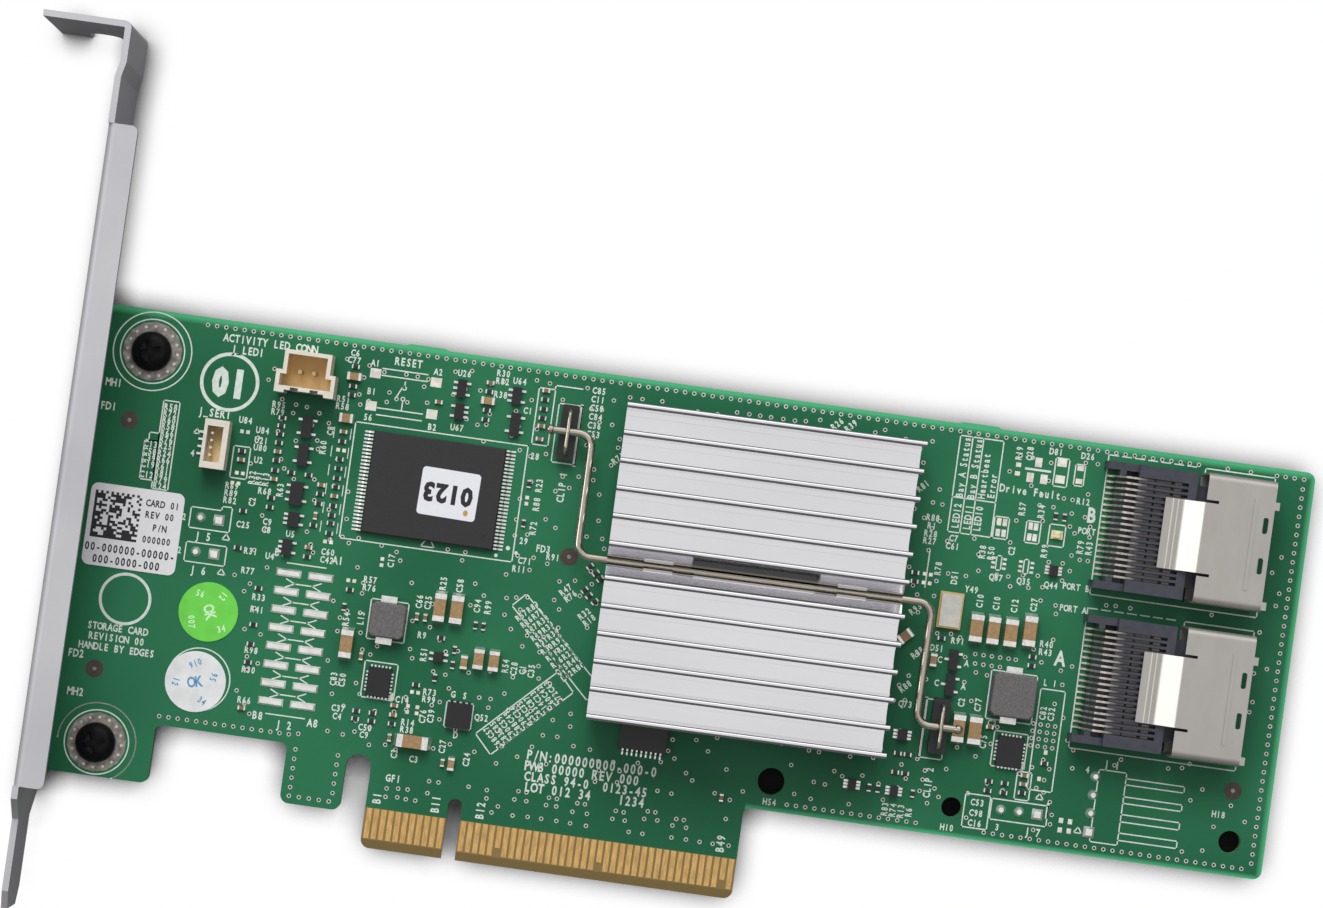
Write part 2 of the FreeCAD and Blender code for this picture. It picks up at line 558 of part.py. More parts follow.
# Gull-wing leads: out of the package's waist, down, and flat on their pads.
def flash_leads():
    solids = []
    waist, thick, out = number("flash_high * 0.55"), 0.12, number("flash_long / 2")
    reach, wide = number("flash_reach"), number("flash_lead")
    for side in (-1, 1):
        for i in range(int(number("flash_leads"))):
            y = (i - number("flash_leads - 1") / 2) * number("flash_pitch") - wide / 2
            path = [(0, waist), (reach * 0.35, waist), (reach * 0.55, thick), (reach, thick), (reach, 0),
                    (reach * 0.45, 0), (reach * 0.27, waist - thick), (0, waist - thick)]
            points = [FreeCAD.Vector(side * (out + x), y, z) for x, z in path]
            solids.append(polygon_solid(points, FreeCAD.Vector(0, wide, 0)))
    return group("flash_memory_leads", solids, "flash_x", "flash_y")


# A paper label on the flash memory, put on by hand a little askew.
def flash_label():
    body = new_body("flash_label")
    outline = new_sketch(body, "flash_label_outline", "XY_Plane")
    wide, high = "tag_wide / 2", "tag_high / 2"
    draw_outline(outline, [
        ("-" + wide, "-" + high, "0.5"), (wide, "-" + high, "0.5"), (wide, high, "0.5"), ("-" + wide, high, "0.5")])
    pad(body, outline, "sticker_thick / 2")
    place(body, "flash_x + 2.15", "flash_y - 0.2", "flash_high", "tag_turn")
    return body


# Port housing, measured from its floor's back edge: a low floor between two side walls, a
# tall block with a slot over each contact, and the slotted nose inside the steel shell.
def port_housing(label, centre):
    body = new_body(label)
    half, front = "port_wide / 2", "(deck_long + block_long)"
    block(body, label + "_floor", "Additive", "0", "-" + half, "0", "deck_long + 1", "port_wide", "deck_high")
    block(body, label + "_block", "Additive", "deck_long", "-" + half, "0", "block_long", "port_wide", "block_high")
    block(body, label + "_nose", "Additive", front + " - 1", "-nose_wide / 2", "nose_low",
          "nose_long + 1", "nose_wide", "block_high - nose_step - nose_low")
    block(body, label + "_mouth", "Subtractive", front + " + 1", "-nose_wide / 2 + 0.7",
          "(nose_low + block_high - nose_step - nose_slot) / 2", "nose_long", "nose_wide - 1.4", "nose_slot")
    for name, wall, post in (("high", half + " - wall_thick", half + " - wall_thick - post_long"),
                             ("low", "-" + half, "-" + half + " + wall_thick")):
        block(body, "%s_%s_wall" % (label, name), "Additive", "-wall_back", wall, "0",
              "deck_long + wall_back + 1", "wall_thick", "wall_high")
        block(body, "%s_%s_post" % (label, name), "Additive", "0", post, "0", "wall_thick * 0.8", "post_long",
              "wall_high")
    slot = block(body, label + "_slot", "Subtractive", "deck_long - 1",
                 "-way_pitch * (ways - 1) / 2 - comb_slot / 2", "run_high - 0.15", "comb_long + 1", "comb_slot",
                 "block_high")
    pattern(body, slot, label + "_comb", "Y_Axis", "way_pitch", "ways")
    place(body, "port_x", centre)
    return body


# Eighteen contacts: a foot on its pad, a slope up over the floor, and a run along its slot
# that dips and rises again to a tip.
def port_contacts(label, centre):
    solids = []
    thick, wide = number("way_thick"), number("way_wide")
    top, start = number("run_high"), number("deck_long")
    dip = number("run_high - 0.15")
    gap = 0.15
    spine = [(-gap - number("foot_long"), 0), (-gap - thick, 0), (-gap, number("deck_high") + thick),
             (start * 0.45, top), (start + 2.4, top), (start + 2.7, dip), (start + 4.7, dip),
             (start + 5.1, top + 0.5), (start + 6.1, top + 0.5)]
    path = spine + [(x - thick * 0.6, z + thick) for x, z in reversed(spine)]
    for i in range(int(number("ways"))):
        y = (i - number("ways - 1") / 2) * number("way_pitch") - wide / 2
        points = [FreeCAD.Vector(x, y, z) for x, z in path]
        solids.append(polygon_solid(points, FreeCAD.Vector(0, wide, 0)))
    return group(label, solids, "port_x", centre)


# Port shell: a steel sleeve open toward the card's end. Its top carries the latch tongue,
# cut free by two reliefs and ramped down behind, two oval windows and a pressed rib.
def port_shell(label, centre):
    body = new_body(label)
    back = "(deck_long + block_long + shell_gap)"
    front = "(%s + shell_long)" % back
    half, high = "(port_wide / 2 + shell_side)", "(block_high + shell_rise)"
    sleeve = new_sketch(body, label + "_sleeve", "YZ_Plane", back)
    draw_outline(sleeve, [
        ("-" + half, "0"), (half, "0"), (half, high, "shell_round"), ("-" + half, high, "shell_round")])
    draw_outline(sleeve, [
        ("-%s + shell_thick" % half, "shell_thick"), (half + " - shell_thick", "shell_thick"),
        (half + " - shell_thick", high + " - shell_thick", "shell_round - shell_thick"),
        ("-%s + shell_thick" % half, high + " - shell_thick", "shell_round - shell_thick")])
    pad(body, sleeve, "shell_long")
    block(body, label + "_rib", "Additive", front + " - 2.85", "-rib_long / 2", high + " - 0.05",
          "0.5", "rib_long", "0.2")
    for name, y in (("high", half + " - 3.9"), ("low", "-" + half + " + 0.3")):
        block(body, "%s_%s_ear" % (label, name), "Additive", front + " - 0.1", y, high + " - shell_thick",
              "0.7", "1.1", "shell_thick")
    for name, y in (("north", "latch_wide / 2"), ("south", "-latch_wide / 2 - relief")):
        block(body, label + "_" + name + "_relief", "Subtractive", back + " - 1", y, high + " - shell_round",
              "relief_long + 1", "relief", "2")
    tongue = new_sketch(body, label + "_latch", "XZ_Plane")
    ramp, low = "(%s - ramp_long)" % back, "(block_high + latch_gap)"
    end = ramp + " - latch_flat"
    draw_outline(tongue, [
        (end, low), (ramp, low), (back, high + " - shell_thick"), (back + " + 0.2", high + " - shell_thick"),
        (back + " + 0.2", high), (back + " - 0.1", high), (ramp + " - 0.1", low + " + shell_thick"),
        (end, low + " + shell_thick")])
    pad(body, tongue, "latch_wide", "both")
    for i in range(3):
        block(body, label + "_grip%d" % i, "Additive", end + " + latch_flat * %.2f" % (0.45 + i * 0.2),
              "-latch_wide / 2 + 0.3", low + " + 0.05", "0.2", "latch_wide - 0.6", "shell_thick + 0.05")
    windows = new_sketch(body, label + "_windows", "XY_Plane", high + " + 1")
    for side in ("+", "-"):
        x, y = front + " - window_inset", "%s window_y" % side
        wide, tall, bow = "window_wide / 2", "window_long / 2", "window_wide * 0.45"
        draw_outline(windows, [
            ("%s - %s" % (x, wide), "%s - %s" % (y, tall), bow), ("%s + %s" % (x, wide), "%s - %s" % (y, tall), bow),
            ("%s + %s" % (x, wide), "%s + %s" % (y, tall), bow), ("%s - %s" % (x, wide), "%s + %s" % (y, tall), bow)])
    pocket(body, windows, "2")
    place(body, "port_x", centre)
    return body


# Lamp header: a cream moulding round two upright pins. Outline and well are both wider in
# front; two feet stand out past the front wall, which has two keyways in it.
def lamp_header():
    body = new_body("lamp_header_housing")
    outline = new_sketch(body, "lamp_outline", "XY_Plane")
    wide, top, back = "lamp_wide / 2", "lamp_top_wide / 2", "(lamp_deep + lamp_top_deep)"
    draw_outline(outline, [
        ("-" + wide, "0"), ("-%s + lamp_foot" % wide, "0"), ("-%s + lamp_foot" % wide, "lamp_step"),
        (wide + " - lamp_foot", "lamp_step"), (wide + " - lamp_foot", "0"), (wide, "0"), (wide, "lamp_deep"),
        (top, "lamp_deep"), (top, back), ("-" + top, back), ("-" + top, "lamp_deep"), ("-" + wide, "lamp_deep")])
    pad(body, outline, "lamp_high")
    front = "(lamp_step + lamp_wall)"
    block(body, "lamp_well", "Subtractive", "-%s + lamp_wall" % top, front, "lamp_floor",
          "lamp_top_wide - 2 * lamp_wall", "%s - lamp_wall - %s" % (back, front), "lamp_high")
    block(body, "lamp_wide_well", "Subtractive", "-%s + lamp_wall" % wide, front, "lamp_floor",
          "lamp_wide - 2 * lamp_wall", "lamp_deep - lamp_wall - " + front, "lamp_high")
    for name, x in (("left", "-key_apart - key_wide / 2"), ("right", "key_apart - key_wide / 2")):
        block(body, "lamp_%s_keyway" % name, "Subtractive", x, "lamp_step - 1", "lamp_floor", "key_wide",
              "1 + lamp_wall * 0.7", "lamp_high")
    place(body, "lamp_x", "lamp_y")
    return body


def lamp_pins():
    apart, low = number("lamp_pitch / 2"), number("lamp_floor")
    pins = [brick(x, number("lamp_deep"), low, 0.5, 0.5, number("lamp_high") - low - 1.2) for x in (-apart, apart)]
    return group("lamp_header_pins", pins, "lamp_x", "lamp_y")


# Serial header: a small upright socket with four leads along its left side.
def serial_header():
    body = new_body("serial_header_housing")
    block(body, "serial_block", "Additive", "0", "-serial_long / 2", "0", "serial_wide", "serial_long", "serial_high")
    block(body, "serial_well", "Subtractive", "0.45", "-serial_long / 2 + 0.9", "0.8", "serial_wide - 1.2",
          "serial_long - 1.8", "serial_high")
    place(body, "serial_x", "serial_y")
    return body


def serial_leads():
    leads = []
    for i in range(4):
        y = (i - 1.5) * number("serial_pitch")
        leads.append(brick(-0.5, y, 0, 1.0, 0.3, 0.25))
        leads.append(brick(1.1, y, 0.8, 0.3, 0.3, 2.4))
    return group("serial_header_leads", leads, "serial_x", "serial_y")


# Power inductors: square ferrite bodies with chamfered corners and a terminal at each end.
def inductor(label, wide, high, x, y):
    body = new_body(label)
    outline = new_sketch(body, label + "_outline", "XY_Plane")
    half = wide + " / 2"
    cut = wide + " * 0.4"
    draw_outline(outline, [
        ("-" + cut, "-" + half), (cut, "-" + half), (half, "-" + cut), (half, cut),
        (cut, half), ("-" + cut, half), ("-" + half, cut), ("-" + half, "-" + cut)])
    pad(body, outline, high)
    document.recompute()
    top = number(high)
    edges = picked_edges(body.Shape, lambda box: box.ZMin > top - 0.01)
    dress(body, "Fillet", label + "_rim", edges, "0.3")
    place(body, x, y)
    return body


def inductor_terminals():
    solids = []
    wide, long, high = number("term_wide"), number("term_long"), number("term_high")
    for x, y, half in ((-12.6, 31.25, number("coil_wide / 2")), (73.3, 33.0, number("coil_big / 2"))):
        for side in (-1, 1):
            solids.append(brick(x - 0.2, y + side * (half + long / 2), 0, wide, long, high))
    return group("inductor_terminals", solids)


# Flat regulators: a leadless moulding whose plated pads show along all four sides.
REGULATORS = [("regulator_left", -12.7, 22.7, 3.2, 4.0), ("regulator_right", 74.05, 25.3, 3.55, 4.2)]


def regulator(label, x, y, wide, long):
    body = brick(0, 0, 0.02, wide, long, number("quad_high"))
    top = [edge for edge in body.Edges if edge.BoundBox.ZMin > number("quad_high")]
    return group(label, [body.makeChamfer(0.08, top)], x, y)


def regulator_pads():
    solids = []
    count, pitch = int(number("quad_pads")), number("quad_pitch")
    for label, x, y, wide, long in REGULATORS:
        for i in range(count):
            along = (i - (count - 1) / 2) * pitch
            for side in (-1, 1):
                solids.append(brick(x + side * (wide / 2 + 0.14), y + along, 0, 0.28, pitch * 0.5, 0.2))
                solids.append(brick(x + along, y + side * (long / 2 + 0.14), 0, pitch * 0.5, 0.28, 0.2))
    return group("regulator_pads", solids)


def power_transistor():
    body = brick(0, 0, 0, number("power_wide"), number("power_long"), number("power_high"))
    leads = [brick((i - 1.5) * 0.8, number("power_long / 2") + 0.15, 0, 0.4, 0.3, 0.3) for i in range(4)]
    return group("power_transistor", [body] + leads, -1.22, 19.65)


def clock_oscillator():
    body = new_body("clock_oscillator")
    block(body, "clock_base", "Additive", "-clock_wide / 2", "-clock_long / 2", "0", "clock_wide", "clock_long", "0.6")
    block(body, "clock_lid", "Additive", "-clock_wide / 2 + 0.25", "-clock_long / 2 + 0.25", "0.6",
          "clock_wide - 0.5", "clock_long - 0.5", "clock_high - 0.6")
    place(body, 63.35, 43.35)
    return body


# Interface chip: a narrow package half under the heatsink, with leads along both long sides.
def interface_chip():
    return group("interface_chip", [brick(0, 0, 0.08, number("logic_wide"), number("logic_long"), 1.0)],
                 "logic_x", "logic_y")


def interface_leads():
    solids = []
    pitch = number("logic_pitch")
    for i in range(int(number("logic_leads"))):
        x = (i - number("logic_leads - 1") / 2) * pitch
        for side in (-1, 1):
            out = number("logic_long") / 2
            path = [(out, 0.6), (out + 0.3, 0.6), (out + 0.5, 0.12), (out + 0.9, 0.12), (out + 0.9, 0),
                    (out + 0.4, 0), (out + 0.2, 0.48), (out, 0.48)]
            points = [FreeCAD.Vector(x - pitch * 0.17, side * y, z) for y, z in path]
            solids.append(polygon_solid(points, FreeCAD.Vector(pitch * 0.34, 0, 0)))
    return group("interface_leads", solids, "logic_x", "logic_y")


# Small transistor packages: centre, body width and length, leads on the left and right.
TRANSISTORS = [
    (-27.35, 55.9, 1.4, 3.05, 2, 2), (-27.35, 52.05, 1.4, 3.1, 2, 2), (-27.5, 46.7, 1.75, 3.2, 3, 2),
    (-27.4, 43.1, 1.55, 2.0, 3, 2), (-27.75, 39.2, 1.3, 2.2, 3, 2), (-7.1, 64.05, 1.2, 2.5, 3, 2),
    (-7.0, 60.9, 1.25, 2.2, 2, 3), (0.5, 64.1, 1.25, 2.4, 3, 2), (0.8, 60.2, 1.35, 3.2, 2, 2),
    (76.6, 50.7, 1.15, 1.4, 3, 3), (59.1, 17.8, 1.1, 1.4, 3, 3), (53.3, 17.9, 1.1, 1.4, 3, 3),
    (59.2, 25.6, 1.3, 1.5, 3, 3), (-5.1, 27.25, 1.4, 1.3, 2, 2), (64.7, 36.7, 1.2, 2.8, 1, 2),
    (64.7, 33.25, 1.2, 2.9, 1, 2),
]


def small_transistors():
    solids = [brick(x, y, 0.08, wide, long, number("sot_high") - 0.08) for x, y, wide, long, left, right in TRANSISTORS]
    return group("small_transistors", solids)


def transistor_leads():
    solids = []
    for x, y, wide, long, left, right in TRANSISTORS:
        for side, count in ((-1, left), (1, right)):
            pitch = long * 0.62 / max(round(count) - 1, 1)
            for i in range(round(count)):
                offset = (i - (round(count) - 1) / 2) * pitch
                solids.append(brick(x + side * (wide / 2 + 0.3), y + offset, 0, 0.6, 0.32, 0.22))
    return group("transistor_leads", solids)


# Large ceramic capacitors: centre, size along X and along Y.
LARGE_CAPACITORS = [
    (-5.85, 34.0, 1.55, 3.8), (-3.5, 34.0, 1.65, 3.8), (-17.8, 27.3, 1.65, 3.8), (0.4, 27.75, 1.35, 2.7),
    (2.5, 27.75, 1.35, 2.7), (-1.55, 27.0, 0.9, 1.8), (-7.0, 15.3, 4.3, 1.7), (67.15, 41.45, 1.7, 3.7),
    (69.5, 41.45, 1.6, 3.7), (71.9, 41.45, 1.7, 3.7), (74.45, 42.05, 1.7, 4.1), (66.6, 27.55, 1.6, 3.7),
    (68.85, 27.55, 1.7, 3.7), (-22.2, 57.85, 1.8, 1.2), (-21.9, 63.65, 1.9, 1.0), (-3.3, 62.9, 1.8, 0.95),
    (62.0, 36.3, 0.85, 1.7), (-1.35, 13.0, 0.85, 1.7),
]


def large_capacitors():
    solids = []
    for x, y, wide, long in LARGE_CAPACITORS:
        high = number("large_high") if min(wide, long) > 1.3 else number("large_high * 0.5")
        solids.append(brick(x, y, 0, wide, long, high))
    solids.append(brick(57.7, 39.0, 0, 2.0, 1.3, number("large_high * 0.6"), 45))
    return group("large_capacitors", solids)


# Small chip parts stand in columns and rows: centre and turn in degrees.
def column(x, places, turn=0):
    return [(x, y, turn) for y in places]


CHIP_RESISTORS = (
    column(-30.85, (56.65, 55.55, 54.4, 53.2, 50.75, 49.4, 45.6, 44.3))
    + column(-22.3, (54.6, 52.15, 50.85, 49.5, 48.3, 45.7, 44.4, 43.3, 41.9))
    + column(-24.3, (47.05, 45.7)) + column(-21.9, (65.0, 62.3, 61.1)) + column(-34.4, (43.3, 38.2))
    + column(-3.3, (64.15, 61.6, 60.3)) + column(4.4, (64.15, 62.85, 61.6)) + column(3.85, (52.4, 46.95), 90)
    + column(-30.8, (33.1, 28.1, 25.4, 22.9)) + column(-15.2, (18.4, 17.3)) + column(-12.95, (18.4, 17.3))
    + [(-28.6, 49.4, 0), (-26.2, 49.4, 0), (-24.6, 42.7, 0), (-24.85, 38.3, 0), (-35.7, 51.4, 0)]
    + [(-18.4, 34.65, 0), (-18.85, 32.2, 90), (-0.7, 32.2, 90), (0.4, 32.2, 90), (-5.1, 29.85, 0)]
    + [(-3.05, 28.5, 90), (-3.05, 26.4, 90), (-5.2, 24.35, 90), (-7.6, 23.05, 0), (-10.15, 17.3, 0)]
    + [(13.7, 42.4, 45), (14.6, 41.6, 45), (15.3, 40.9, 45), (13.4, 39.1, 45), (14.1, 38.4, 45), (15.0, 37.7, 45)]
    + [(57.9, 47.8, 0), (57.95, 46.6, 0), (62.7, 39.4, 0), (55.7, 17.8, 90), (56.9, 17.8, 90), (61.7, 17.8, 90)]
    + column(58.95, (23.0, 20.4)) + column(60.3, (23.0, 20.4)) + column(71.8, (20.95, 19.65))
    + column(74.0, (20.95, 19.65)) + [(76.5, 20.0, 0), (79.0, 24.4, 0), (75.4, 38.6, 0), (75.4, 37.4, 0)]
    + column(75.9, (58.1,), 90) + column(77.1, (58.1,), 90)
)

SMALL_CAPACITORS = (
    column(-30.85, (52.0, 48.2)) + column(-22.3, (55.95, 47.05)) + column(4.4, (65.4, 60.5, 58.7))
    + column(-10.15, (19.85, 18.55)) + column(76.5, (22.4, 21.2))
    + [(-24.3, 48.3, 0), (-24.5, 44.0, 90), (-24.8, 39.6, 0), (-35.65, 50.2, 0), (-3.3, 65.4, 0), (-9.95, 61.8, 0)]
    + [(-15.6, 25.85, 90), (-30.8, 16.6, 0), (-8.8, 32.3, 90), (-7.65, 32.3, 90), (-10.2, 15.4, 90)]
    + [(-2.55, 13.0, 90), (35.9, 13.6, 90), (70.9, 28.3, 0)]
)


def small_chips(label, places, high):
    long, deep = number("chip_long"), number("chip_deep")
    return group(label, [brick(x, y, 0, long, deep, number(high), turn) for x, y, turn in places])


# Status lamp: a flat base with a clear lens moulded on it.
def status_lamp():
    base = brick(0, 0, 0, 1.6, 1.2, 0.35)
    lens = brick(0, 0, 0.35, 1.0, 1.0, 0.35)
    top = [edge for edge in lens.Edges if edge.BoundBox.ZMin > 0.69]
    return group("status_lamp", [base.fuse(lens.makeChamfer(0.12, top))], 76.4, 55.6)


# Solder lands that bulge: two columns of eight long ones, and the round and square header
# joints.
def bridge_pads():
    solids = []
    for i in range(int(number("pad_rows"))):
        for x in (number("pad_left"), number("pad_right")):
            land = brick(x, number("pad_first") - i * number("pad_pitch"), 0, number("pad_long"), number("pad_deep"),
                         number("pad_high"))
            top = [edge for edge in land.Edges if edge.BoundBox.ZMin > number("pad_high") - 0.01]
            solids.append(land.makeChamfer(number("pad_high * 0.8"), top))
    return group("bridge_pads", solids)


ROUND_JOINTS = [
    (-40.05, 41.6), (-40.05, 36.85), (86.2, 23.6), (86.2, 21.05), (86.2, 18.55), (74.0, 17.3), (76.5, 17.35),
]
SQUARE_JOINTS = [(-37.5, 41.55), (-37.5, 36.85), (86.3, 15.95), (79.0, 17.35)]


def solder_joints():
    solids = []
    for x, y in ROUND_JOINTS:
        solids.append(Part.makeCone(0.7, 0.35, 0.5, FreeCAD.Vector(x, y, 0)))
    for x, y in SQUARE_JOINTS:
        joint = brick(x, y, 0, 1.5, 1.5, 0.4)
        top = [edge for edge in joint.Edges if edge.BoundBox.ZMin > 0.39]
        solids.append(joint.makeChamfer(0.3, top))
    return group("solder_joints", solids)


# Paper and film stickers on the component side.
def service_label():
    body = new_body("service_label")
    outline = new_sketch(body, "label_outline", "XY_Plane")
    wide, high = "label_wide / 2", "label_high / 2"
    draw_outline(outline, [
        ("-" + wide, "-" + high, "1"), (wide, "-" + high, "1"), (wide, high, "1"), ("-" + wide, high, "1")])
    pad(body, outline, "sticker_thick")
    place(body, "label_x", "label_y")
    return body


def round_sticker(label, x, y, radius):
    disc = document.addObject("Part::Cylinder", label)
    bind(disc, Radius=radius, Height="sticker_thick")
    place(disc, x, y)
    made.append(disc)
    return disc


circuit_board()
edge_contacts("edge_contacts_front", 0)
edge_contacts("edge_contacts_back", -number("board_thick + contact_thick"))
mounting_bracket()
bracket_screws()
heatsink()
heatsink_clip()
for side, word in ((-1, "left"), (1, "right")):
    clip_anchor("clip_anchor_" + word, side)
    anchor_hoop("anchor_hoop_" + word, side)
controller_chip()
thermal_pad()
flash_memory()
flash_leads()
flash_label()
for letter in "ab":
    port_housing("port_%s_housing" % letter, "port_" + letter)
    port_contacts("port_%s_contacts" % letter, "port_" + letter)
    port_shell("port_%s_shell" % letter, "port_" + letter)
lamp_header()
lamp_pins()
serial_header()
serial_leads()
inductor("inductor_left", "coil_wide", "coil_high", -12.6, 31.25)
inductor("inductor_right", "coil_big", "coil_big_high", 73.3, 33.0)
inductor_terminals()
for row in REGULATORS:
    regulator(*row)
regulator_pads()
power_transistor()
clock_oscillator()
interface_chip()
interface_leads()
small_transistors()
transistor_leads()
large_capacitors()
small_chips("small_capacitors", SMALL_CAPACITORS, "capacitor_high")
small_chips("chip_resistors", CHIP_RESISTORS, "resistor_high")
status_lamp()
bridge_pads()
solder_joints()
service_label()
round_sticker("green_sticker", -37.17, 28.94, "green_radius")
round_sticker("white_sticker", -37.57, 19.26, "white_radius")
document.recompute()

for thing in document.Objects:
    if "Invalid" in thing.State or "Error" in thing.State:
        raise RuntimeError("%s failed" % thing.Label)
for thing in made:
    if thing.Shape.isNull() or not thing.Shape.isValid():
        raise RuntimeError("%s has no valid shape" % thing.Label)

os.makedirs("parts", exist_ok=True)
for thing in made:
    thing.Shape.exportStep("parts/%s.step" % thing.Label)
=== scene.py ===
import math
import random
import bpy
import bmesh
from mathutils import Matrix, Vector


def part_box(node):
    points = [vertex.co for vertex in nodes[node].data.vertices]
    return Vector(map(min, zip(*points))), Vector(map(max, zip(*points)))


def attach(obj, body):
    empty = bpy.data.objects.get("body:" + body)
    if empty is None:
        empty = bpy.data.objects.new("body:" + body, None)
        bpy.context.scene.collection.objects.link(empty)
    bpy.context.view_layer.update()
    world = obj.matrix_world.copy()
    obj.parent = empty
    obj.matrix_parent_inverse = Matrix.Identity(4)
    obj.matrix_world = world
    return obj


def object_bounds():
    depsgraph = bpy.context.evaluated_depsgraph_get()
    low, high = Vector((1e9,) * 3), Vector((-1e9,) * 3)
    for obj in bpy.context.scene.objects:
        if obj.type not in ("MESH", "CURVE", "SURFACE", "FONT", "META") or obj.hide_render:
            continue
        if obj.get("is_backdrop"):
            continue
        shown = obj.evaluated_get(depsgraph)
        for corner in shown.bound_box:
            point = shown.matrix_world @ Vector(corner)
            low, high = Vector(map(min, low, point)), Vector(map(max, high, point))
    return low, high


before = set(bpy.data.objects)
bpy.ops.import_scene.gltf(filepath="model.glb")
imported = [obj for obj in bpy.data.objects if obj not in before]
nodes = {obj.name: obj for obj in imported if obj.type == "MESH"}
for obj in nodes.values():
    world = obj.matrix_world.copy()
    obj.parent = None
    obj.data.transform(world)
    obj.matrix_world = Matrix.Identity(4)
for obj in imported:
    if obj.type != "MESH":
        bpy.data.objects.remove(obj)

# The studio: the card lies flat under the camera on a white table. Wide soft lamps hang over
# it and beyond its top edge, with a smaller one that throws the shadows and one on the left.
cad_box = [list(corner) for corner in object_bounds()]
MM = 0.001
scene = bpy.context.scene
scene.view_settings.view_transform = "Standard"

FRAME_WIDTH, FRAME_HEIGHT = 1323, 908
FOCAL_PIXELS = 3885.24
AXIS_ACROSS, AXIS_DOWN = 615.77, 461.02
SENSOR = 36.0
CAMERA_PLACE = (15.007, 46.376, 532.26)
YAW, PITCH, ROLL = 8.04, 1.1497, -0.1793
FAR_CLIP = 20.0


def new_object(name, data):
    piece = bpy.data.objects.new(name, data)
    scene.collection.objects.link(piece)
    return piece


def new_material(name):
    material = bpy.data.materials.new(name)
    material.use_nodes = True
    tree = material.node_tree
    return material, tree, tree.nodes["Principled BSDF"]


# A new node. Each socket takes another node's output or a plain value.
def add_node(tree, kind, sockets=None, **settings):
    made = tree.nodes.new(kind)
    for setting, value in settings.items():
        setattr(made, setting, value)
    for socket, value in (sockets or {}).items():
        if isinstance(value, bpy.types.NodeSocket):
            tree.links.new(value, made.inputs[socket])
        else:
            made.inputs[socket].default_value = value
    return made


def feed(node, socket, source):
    source.id_data.links.new(source, node.inputs[socket])


def maths(operation, first, second=0.0):
    tree = (first if isinstance(first, bpy.types.NodeSocket) else second).id_data
    return add_node(tree, "ShaderNodeMath", {0: first, 1: second}, operation=operation).outputs[0]


def times(product, *factors):
    for factor in factors:
        product = maths("MULTIPLY", product, factor)
    return product


def mix_colour(amount, *tones):
    first, second = (tone if isinstance(tone, bpy.types.NodeSocket) else (*tone, 1) for tone in tones)
    return add_node(amount.id_data, "ShaderNodeMix", {"Factor": amount, "A": first, "B": second},
                    data_type="RGBA").outputs["Result"]


# Coordinates along, across and up from a place in millimetres, turned by some degrees.
def placed_axes(tree, x=0, y=0, turn=0):
    mapping = add_node(tree, "ShaderNodeMapping", {
        "Vector": add_node(tree, "ShaderNodeTexCoord").outputs["Object"],
        "Location": (x * MM, y * MM, 0), "Rotation": (0, 0, math.radians(turn))}, vector_type="TEXTURE")
    return list(add_node(tree, "ShaderNodeSeparateXYZ", {0: mapping.outputs[0]}).outputs)


# One between two millimetre marks of a coordinate and nought beyond them, with soft edges.
def band(value, low, high, soft=0.05):
    middle, half = (low + high) / 2, (high - low) / 2
    offset = maths("ABSOLUTE", maths("SUBTRACT", value, middle * MM))
    return add_node(value.id_data, "ShaderNodeMapRange", {
        "Value": offset, "From Min": (half + soft) * MM, "From Max": (half - soft) * MM}).outputs[0]


camera_data = bpy.data.cameras.new("camera")
camera = new_object("camera", camera_data)
camera_data.sensor_width = SENSOR
camera_data.lens = FOCAL_PIXELS * SENSOR / FRAME_WIDTH
camera_data.shift_x = (FRAME_WIDTH / 2 - AXIS_ACROSS) / FRAME_WIDTH
camera_data.shift_y = (AXIS_DOWN - FRAME_HEIGHT / 2) / FRAME_WIDTH
turn = (Matrix.Rotation(math.radians(YAW), 3, "Z") @ Matrix.Rotation(math.radians(PITCH), 3, "X")
        @ Matrix.Rotation(math.radians(ROLL), 3, "Y"))
camera.matrix_world = Matrix.Translation(Vector(CAMERA_PLACE) * MM) @ turn.to_4x4()
camera_data.clip_end = FAR_CLIP
scene.camera = camera

# Each lamp's place, width, depth, power and whether polished metal mirrors it.
LAMPS = [
    ("key", (-0.12, 0.62, 0.72), 0.45, 0.45, 5.4, False),
    ("left", (-0.85, 0.1, 0.65), 0.35, 0.35, 1.6, True),
    ("overhead", (0.06, 0.45, 1.20), 2.8, 2.2, 11.0, True),
    ("fill", (0.06, 0.45, 1.20), 1.6, 1.4, 4.4, False),
    ("north", (0.06, 1.50, 0.75), 2.4, 1.3, 9.0, True),
]
CARD_MIDDLE = Vector((0.03, 0.04, 0.0))
for name, place, wide, deep, watts, mirrored in LAMPS:
    data = bpy.data.lights.new(name, "AREA")
    data.shape = "RECTANGLE"
    data.size, data.size_y, data.energy = wide, deep, watts
    lamp = new_object(name, data)
    lamp.location = place
    lamp.rotation_mode = "QUATERNION"
    lamp.rotation_quaternion = (CARD_MIDDLE - Vector(place)).to_track_quat("-Z", "Y")
    lamp.visible_camera = False
    lamp.visible_glossy = mirrored

